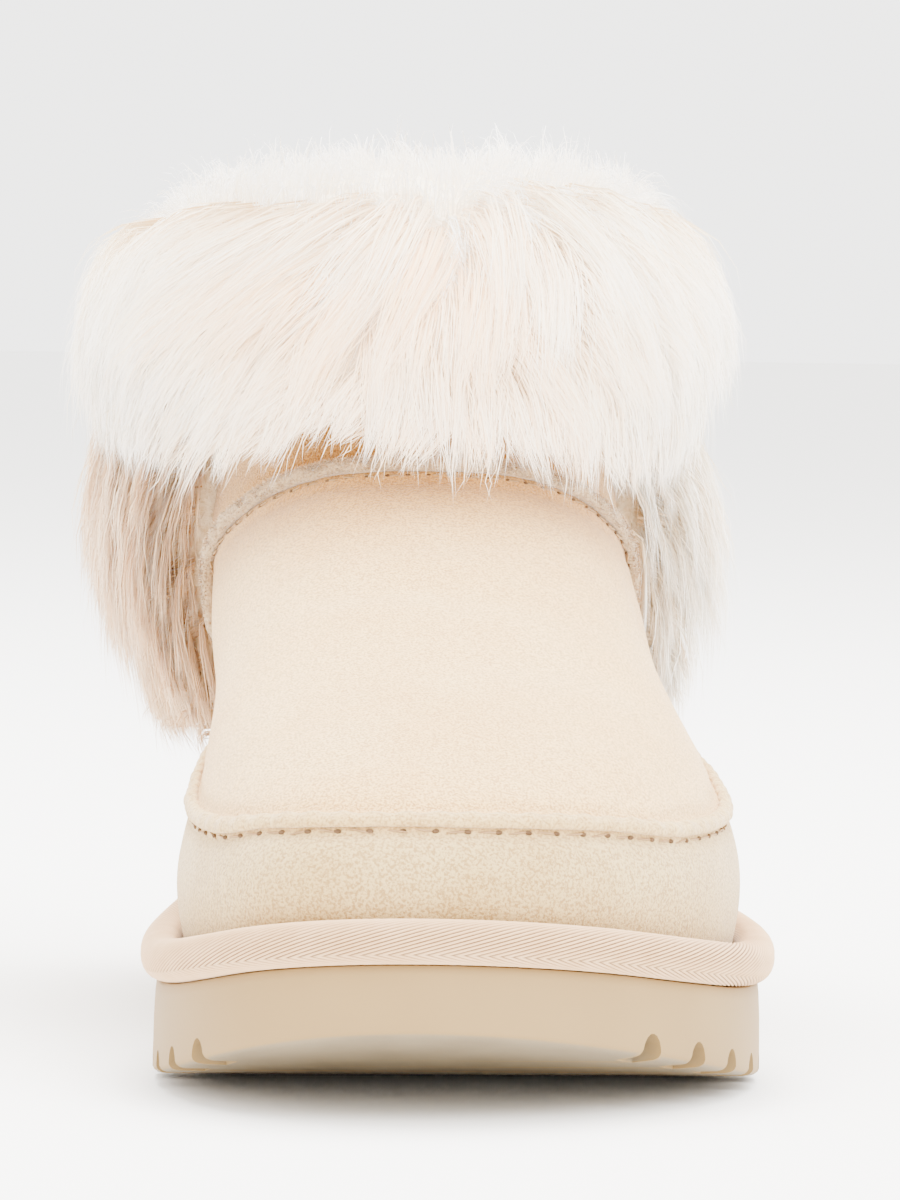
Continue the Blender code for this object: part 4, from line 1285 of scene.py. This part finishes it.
def comb_across(around):
    """Sideways travel of the collar's hair for each millimetre that it falls, away from its parting."""
    turn = around - 0.5
    inner = -1.10 * np.exp(-(((turn - 0.10) / 0.085) ** 2))
    outer = 0.55 * np.exp(-(((turn + 0.10) / 0.085) ** 2))
    return inner + outer


def collar_locks(random):
    """Locks of the collar's fur, in overlapping rows from the hem up to the rim."""
    levels, places = np.arange(111.5, 151.0, 4.6), 62
    number = np.repeat(np.arange(len(levels)), places)
    step = np.tile(np.arange(places), len(levels))
    around = (step + 0.5 * (number % 2) + random.uniform(-0.4, 0.4, len(step))) / places % 1
    height = levels[number] + random.uniform(-2.3, 2.3, len(step))
    shortened = (collar_crest(around) - FUR_SPLIT) / (FUR_CREST - FUR_SPLIT)
    height = FUR_SPLIT + (height - FUR_SPLIT) * shortened
    leaning = comb_across(around) * 0.045
    hem = level_through(COLLAR_HEM, HEM_COLUMNS, "height", around - leaning - 0.5)
    hem = hem + random.normal(0, 1.7, len(step))
    drop = random.uniform(15, 25, len(step)) * (1 - 0.25 * np.clip(np.abs(comb_across(around)), 0, 1))
    end_height = np.maximum(height - drop, hem)
    swirl = smooth_noise(41, 16, np.stack([around * 11, height / 14], -1))
    sideways = comb_across(around) + 0.45 * swirl + random.normal(0, 0.14, len(step))
    travel = sideways * (height - end_height + 3)
    locks = combed_locks(COLLAR_FUR, around, height, end_height, travel, 0.10, random)
    middle = np.exp(-(((around - PARTING) / 0.085) ** 2) - ((height - 131) / 13) ** 2)
    patches = smooth_noise(44, 16, np.stack([around * 14, height / 11], -1))
    # painted shade: locks low on the collar's front are toned creamier and darker, for the shade near the
    # hem
    low = np.exp(-(((height - 108) / 9) ** 2) - ((around - 0.5) / 0.12) ** 2)
    locks["tone"] = 0.95 - 0.7 * middle * (1 + 0.5 * patches) - 0.5 * low
    locks["tone"] += random.normal(0, 0.05, len(step))
    locks["loose"] = random.uniform(0.6, 1.9, len(step)) * (1 + 0.9 * (height - 112) / 40)
    return locks


def rim_locks(random):
    """Locks that stand on the collar's edge and fall outwards or into the leg."""
    places = 70
    root_out, root_height, tip_height, hump, limit = (
        np.repeat(column(RIM_RINGS, RIM_COLUMNS, name), places) for name in RIM_COLUMNS
    )
    ring = np.repeat(np.arange(len(RIM_RINGS)), places)
    count = len(ring)
    around = (np.tile(np.arange(places), len(RIM_RINGS)) + random.uniform(-0.5, 0.5, count)) / places % 1
    sunk = FUR_CREST - collar_crest(around)
    root_height = root_height - 0.7 * sunk
    tip_height = tip_height - sunk + random.normal(0, 1.0, count)
    outside = fur_depth(COLLAR_FUR, around, np.minimum(tip_height + 0.6 * sunk, FUR_CREST)) + 0.3
    tip_out = np.minimum(limit, outside)
    tip_out = tip_out + random.normal(0, 1.0, count)
    point, out, side = lock_frame(around, np.full(count, 141.5))
    up = np.array([0.0, 0.0, 1.0])
    flat = point * np.array([1.0, 1.0, 0.0])
    sweep = 6.0 * smooth_noise(43, 16, np.stack([around * 11, ring * 1.7], -1))
    sweep += 2.0 * np.sign(PARTING - around) * np.exp(-(((around - PARTING) / 0.05) ** 2))
    start = flat + out * root_out[:, None] + up * root_height[:, None]
    finish = flat + out * tip_out[:, None] + up * tip_height[:, None] + side * sweep[:, None]
    second = start + up * (0.6 * (tip_height - root_height) + 0.8 * hump)[:, None]
    third = finish - out * (0.35 * (tip_out - root_out))[:, None] + up * (0.9 * hump)[:, None]
    third = third - side * (0.3 * sweep)[:, None]
    return {
        "controls": np.stack([start, second, third, finish], 1), "out": out, "side": side,
        "around": around, "tone": 0.97 + random.normal(0, 0.04, count),
        "loose": random.uniform(0.8, 1.8, count), "rooting": np.ones(count),
    }


def quarter_locks(random):
    """Locks of the fur on both quarters and the heel, combed down and a little back."""
    levels, places = np.arange(55.0, 110.0, 4.8), 46
    number = np.repeat(np.arange(len(levels)), places)
    step = np.tile(np.arange(places), len(levels))
    staggered = step + 0.5 * (number % 2) * 0.5 + random.uniform(0, 0.6, len(step))
    station = -1 + 2 * staggered / (places - 0.2)
    height = levels[number] + random.uniform(-2.3, 2.3, len(step))
    around = (station * quarter_edge(height)) % 1
    hem = QUARTER_HEM + 5.0 * np.abs(station) ** 3 + random.normal(0, 2.0, len(step))
    end_height = np.maximum(height - random.uniform(15, 26, len(step)), hem)
    swirl = smooth_noise(42, 16, np.stack([station * 5 + 7, height / 13], -1))
    backward = np.sign(0.5 - around)
    inland = np.clip((0.97 - np.abs(station)) / 0.3, 0, 1)
    swept = 0.15 + 0.45 * swirl * inland + random.normal(0, 0.12, len(step)) * inland
    travel = backward * swept * (height - end_height)
    thin = np.sqrt(np.clip(1 - np.abs(station) ** 7, 0.05, 1))
    locks = combed_locks(
        QUARTER_FUR, around, height, end_height, travel, 0.08, random, thin, quarter_edge
    )
    # painted shade: the arch side's locks are toned creamier and darker
    locks["tone"] = np.where(around < 0.5, 0.97, 0.6) + random.normal(0, 0.08, len(step))
    locks["loose"] = random.uniform(0.7, 1.9, len(step))
    return locks


def edge_locks(random):
    """Locks at the quarters' front edges, which fall forwards over the end of the wool."""
    levels, layers = np.arange(57.0, 109.0, 3.4), np.array([0.25, 0.5, 0.8])
    height, layer, hand = (a.ravel() for a in np.meshgrid(levels, layers, np.array([-1.0, 1.0])))
    count = len(height)
    height = height + random.uniform(-1.5, 1.5, count)
    fallen = height - random.uniform(9, 18, count)
    end_height = np.maximum(fallen, QUARTER_HEM + 7 + random.normal(0, 2, count))
    around = hand * (quarter_edge(height) - 0.012)
    end_around = hand * (quarter_edge(end_height) + random.uniform(-0.012, 0.006, count))
    point, out, side = lock_frame(around, height)
    end, end_out, _ = lock_frame(end_around, end_height)
    depth = layer * fur_depth(QUARTER_FUR, around % 1, height)
    end_depth = layer * fur_depth(QUARTER_FUR, end_around % 1, np.maximum(end_height, 49.0))
    forward = side * hand[:, None]
    start = point + out * (0.25 * depth)[:, None]
    finish = end + end_out * (0.8 * end_depth + 0.6)[:, None]
    second = start + out * (0.5 * depth)[:, None] + forward * 2.5
    third = finish + np.array([0.0, 0.0, 6.0]) + end_out * 0.8
    # painted shade: the arch side's edge locks are toned creamier and darker
    return {
        "controls": np.stack([start, second, third, finish], 1), "out": out, "side": side,
        "around": around % 1, "tone": np.where(hand > 0, 0.9, 0.4) + random.normal(0, 0.08, count),
        "loose": random.uniform(0.6, 1.2, count), "rooting": np.full(count, 0.35),
    }


def split_locks(locks, wanted):
    """Those of the locks that are wanted."""
    return {name: value[wanted] for name, value in locks.items()}


def make_fur(long_hair, rim_hair, shade_painted_hair):
    """The fur's hairs, as one mesh for each part of the boot that carries them."""
    random = np.random.default_rng(7)
    collar, rim, quarter = collar_locks(random), rim_locks(random), quarter_locks(random)
    edge = edge_locks(random)
    quarter = {name: np.concatenate([value, edge[name]]) for name, value in quarter.items()}
    front = np.abs(collar["around"] - 0.5) < 0.25
    outer = quarter["around"] < 0.5
    parts = {
        "fur_collar_front": (split_locks(collar, front), long_hair),
        "fur_collar_back": (split_locks(collar, ~front), long_hair),
        "fur_rim": (rim, rim_hair),
        "fur_quarter_outer": (split_locks(quarter, outer), long_hair),
        "fur_quarter_inner": (split_locks(quarter, ~outer), shade_painted_hair),
    }
    made = []
    for row in LOCK_ROWS:
        group = dict(zip(LOCK_COLUMNS, row))
        locks, finish = parts[group["name"]]
        for ending, count in (("", group["hairs"]), ("_shading", group["shading_hairs"])):
            if count == 0:
                continue
            paths, facing, widths, tones = locks_to_hairs(
                locks, count, random, group["root_spread"], group["tip_spread"]
            )
            title = group["name"] + ending
            hairs = hair_mesh(title, paths, facing, widths, tones, random, finish)
            hairs.visible_shadow = ending != ""  # light passes through most of the loose wool
            made.append(hairs)
    return made


def make_fur_beds(bed, quarter_bed):
    """The dense underwool of collar and quarters, from which the long hairs stand."""
    around = np.arange(200) / 200
    crest = collar_crest(around)
    hem = level_through(COLLAR_HEM, HEM_COLUMNS, "height", around - 0.5)
    foot = FUR_SPLIT + 3.0 * np.clip((hem - 102) / 4, 0, 1)
    top = upper_point(around, np.ones_like(around))[:, 2]
    loops = []
    for share in np.linspace(0, 0.97, 22):
        height = foot + share * (crest - foot)
        level = np.full_like(around, FUR_SPLIT + share * (FUR_CREST - FUR_SPLIT))
        depth = fur_depth(COLLAR_FUR, around, level)
        point, out = wall_and_outward(around, height)
        loops.append(point + out * (BED_SHARE * depth)[:, None])
    for inward, share in ((-1.0, 1.0), (-WALL, 0.6), (-WALL - 0.5, 0.0)):
        height = top + GAP + share * (crest - top - GAP)
        point, out = wall_and_outward(around, height)
        loops.append(point + out * inward)
    for height in (top + GAP, top - 12.0, foot + 0.35 * (top - foot), foot):
        point, out = wall_and_outward(around, height)
        loops.append(point + out * 0.6)
    stack = np.array(loops)
    lumps = smooth_noise(51, 32, stack / 5.0)
    point, out = wall_and_outward(around, 0 * around + 125.0)
    stack[:22] += out[None] * (0.9 * lumps[:22])[..., None]
    faces = grid_faces(len(stack), len(around), True, True)
    collar = face_out(mesh_piece("underwool_collar", world(stack).reshape(-1, 3), faces, bed))

    stations = np.linspace(-0.97, 0.97, 150)
    shares = np.linspace(0, 1, 22)
    sections = []
    edge = np.sqrt(np.clip(1 - np.abs(stations / 0.97) ** 7, 0.03, 1))
    for station, thin in zip(stations, edge):
        low = QUARTER_HEM + 3.0 + 7.0 * abs(station) ** 3
        height = low + shares * (FUR_SPLIT - GAP - low)
        turn = station * quarter_edge(height)
        depth = fur_depth(QUARTER_FUR, turn % 1, height)
        point, out = wall_and_outward(turn, height)
        lumps = smooth_noise(52, 32, point / 5.0)
        outer = point + out * (BED_SHARE * depth * thin + 0.8 * lumps * thin + 0.6)[:, None]
        sections.append(np.vstack([outer, (point - out * 0.8)[::-3]]))
    quarter = face_out(tube("underwool_quarters", np.array(sections), quarter_bed))
    return collar, quarter


def make_ridge_fuzz(wool):
    """Short wool that stands from the collar's ridge."""
    random = np.random.default_rng(9)
    points, normals, tangents, sides = seam_line("collar", 900)
    count = RIDGE_WOOL_COUNT
    pick = random.integers(0, len(points), count)
    across = random.uniform(-1, 1, count)
    root = points[pick] + sides[pick] * (1.4 * across)[:, None]
    root += normals[pick] * (2.15 * np.sqrt(1 - 0.8 * across ** 2))[:, None]
    way = normals[pick] * random.uniform(0.4, 1.0, (count, 1)) + sides[pick] * (1.0 * across)[:, None]
    way += tangents[pick] * random.normal(0, 0.7, (count, 1))
    way += sides[pick] * random.normal(0, 0.35, (count, 1))
    way /= np.linalg.norm(way, axis=1)[:, None]
    long = random.uniform(0.4, 0.95, (count, 1))
    share = np.linspace(0, 1, 4)[None, :, None]
    curl = tangents[pick] * random.normal(0, 0.35, (count, 1))
    paths = root[:, None] + way[:, None] * long[:, None] * share + curl[:, None] * share ** 2
    return hair_mesh(
        "collar_ridge_wool", paths, normals[pick], random.uniform(0.18, 0.3, count),
        random.uniform(0, 1, count), random, wool,
    )


def light(name, place, aim, size, power, colour):
    """A soft square studio light."""
    lamp = bpy.data.lights.new(name, "AREA")
    lamp.shape, lamp.size, lamp.energy = "SQUARE", size, power
    lamp.color = linear(colour)[:3]
    made = bpy.data.objects.new(name, lamp)
    made.location = place
    made.rotation_euler = (Vector(aim) - Vector(place)).to_track_quat("-Z", "Y").to_euler()
    bpy.context.scene.collection.objects.link(made)


def make_stage():
    """Pale floor, pale surroundings, soft lights, and the camera where the photograph was taken from."""
    made, _, shader = start_material("studio_floor", 0.9, 0.0, 0.5, 0.1)
    shader.inputs["Base Color"].default_value = linear("#F4F3F1")
    points = FLOOR_HALF * np.array([(-1, -1, 0), (1, -1, 0), (1, 1, 0), (-1, 1, 0)])
    floor = mesh_piece("floor", points, np.array([[0, 1, 2, 3]]), made, smooth=False)
    floor.location.z = -0.0002
    surround = bpy.data.worlds.new("studio")
    surround.use_nodes = True
    back = surround.node_tree.nodes["Background"]
    back.inputs["Color"].default_value = linear("#F7F6F4")
    back.inputs["Strength"].default_value = SURROUND_STRENGTH
    bpy.context.scene.world = surround
    for row in LIGHTS:
        light(**dict(zip(LIGHT_COLUMNS, row)))

    lens = bpy.data.cameras.new("camera")
    lens.sensor_fit, lens.sensor_height, lens.sensor_width = "VERTICAL", 36.0, 27.0
    lens.lens = CAMERA_LENS
    lens.clip_start, lens.clip_end = 0.05, 20
    camera = bpy.data.objects.new("camera", lens)
    camera.location = CAMERA_PLACE
    aim = Vector(CAMERA_AIM)
    turn = (aim - camera.location).to_track_quat("-Z", "Y")
    camera.rotation_euler = (turn @ Quaternion((0.0, 0.0, 1.0), math.radians(CAMERA_ROLL))).to_euler()
    bpy.context.scene.collection.objects.link(camera)
    bpy.context.scene.camera = camera


def main():
    """Makes every piece, hangs it on the boot's body, hides the solids it stands for, and sets the stage.
    """
    suede, rubber, twill = suede_material(), rubber_material(), twill_material()
    lining = fleece_material("clipped_fleece", "#CDB08A", "#F0DDBE")
    ridge = fleece_material("seam_fleece", "#8A6E4B", "#C0A681", 0.5)
    bed = fleece_material("underwool", "#F0DDBE", "#FAF1E0")
    # painted shade: the quarters' underwool is darker and warmer than the collar's, for the shade deep in
    # the fur beside the vamp
    low_bed = fleece_material("quarter_underwool", "#D2B488", "#EAD6B4")
    thread, hole = thread_material(), needle_hole_material()
    long_hair = hair_material("long_sheep_fur", "#DABF92", "#F5E8D0", "#FFFDF9", "#FFDCA6")
    # painted shade: darker, warmer hair for the quarter on the arch side, for the shade that falls there
    shade_painted_hair = hair_material("shade_painted_sheep_fur", "#B8966A", "#DBC09A", "#F0E0C8", "#FFDCA6")
    # painted light: the rim's hairs are whiter, for the light from above on the collar's edge
    rim_hair = hair_material("top_light_painted_fur", "#F2E4CC", "#FCF7EE", "#FFFFFF", "#FFF0D8")
    short_wool = hair_material("short_seam_wool", "#96795A", "#B49874", "#CCB28E", "#F3E2CC")

    collar_bed, quarter_bed = make_fur_beds(bed, low_bed)
    placed = (
        (make_upper(suede), ("upper",), "sheepskin_suede"),
        (make_sole(rubber), ("outsole",), "moulded_foam_rubber"),
        (make_welt(twill), ("welt",), "cotton_twill_tape"),
        (make_insole(lining), ("insole",), "clipped_fleece"),
        (make_lining(lining), (), "clipped_fleece"),
        (make_apron_ridge(suede), ("apron_seam",), "sheepskin_suede"),
        (make_collar_ridge(ridge), ("collar_seam",), "seam_fleece"),
        (make_ridge_fuzz(short_wool), (), "seam_fleece"),
        (collar_bed, ("fur_collar",), "long_sheep_fur"),
        (quarter_bed, ("fur_quarters",), "long_sheep_fur"),
        *((piece, (), "sheepskin_suede") for piece in make_stitches(thread, hole)),
        *((piece, (), "long_sheep_fur") for piece in make_fur(long_hair, rim_hair, shade_painted_hair)),
    )
    for piece, stands_for, finish in placed:
        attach(piece, "root")
        if stands_for:
            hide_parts(*stands_for)
    make_stage()


main()
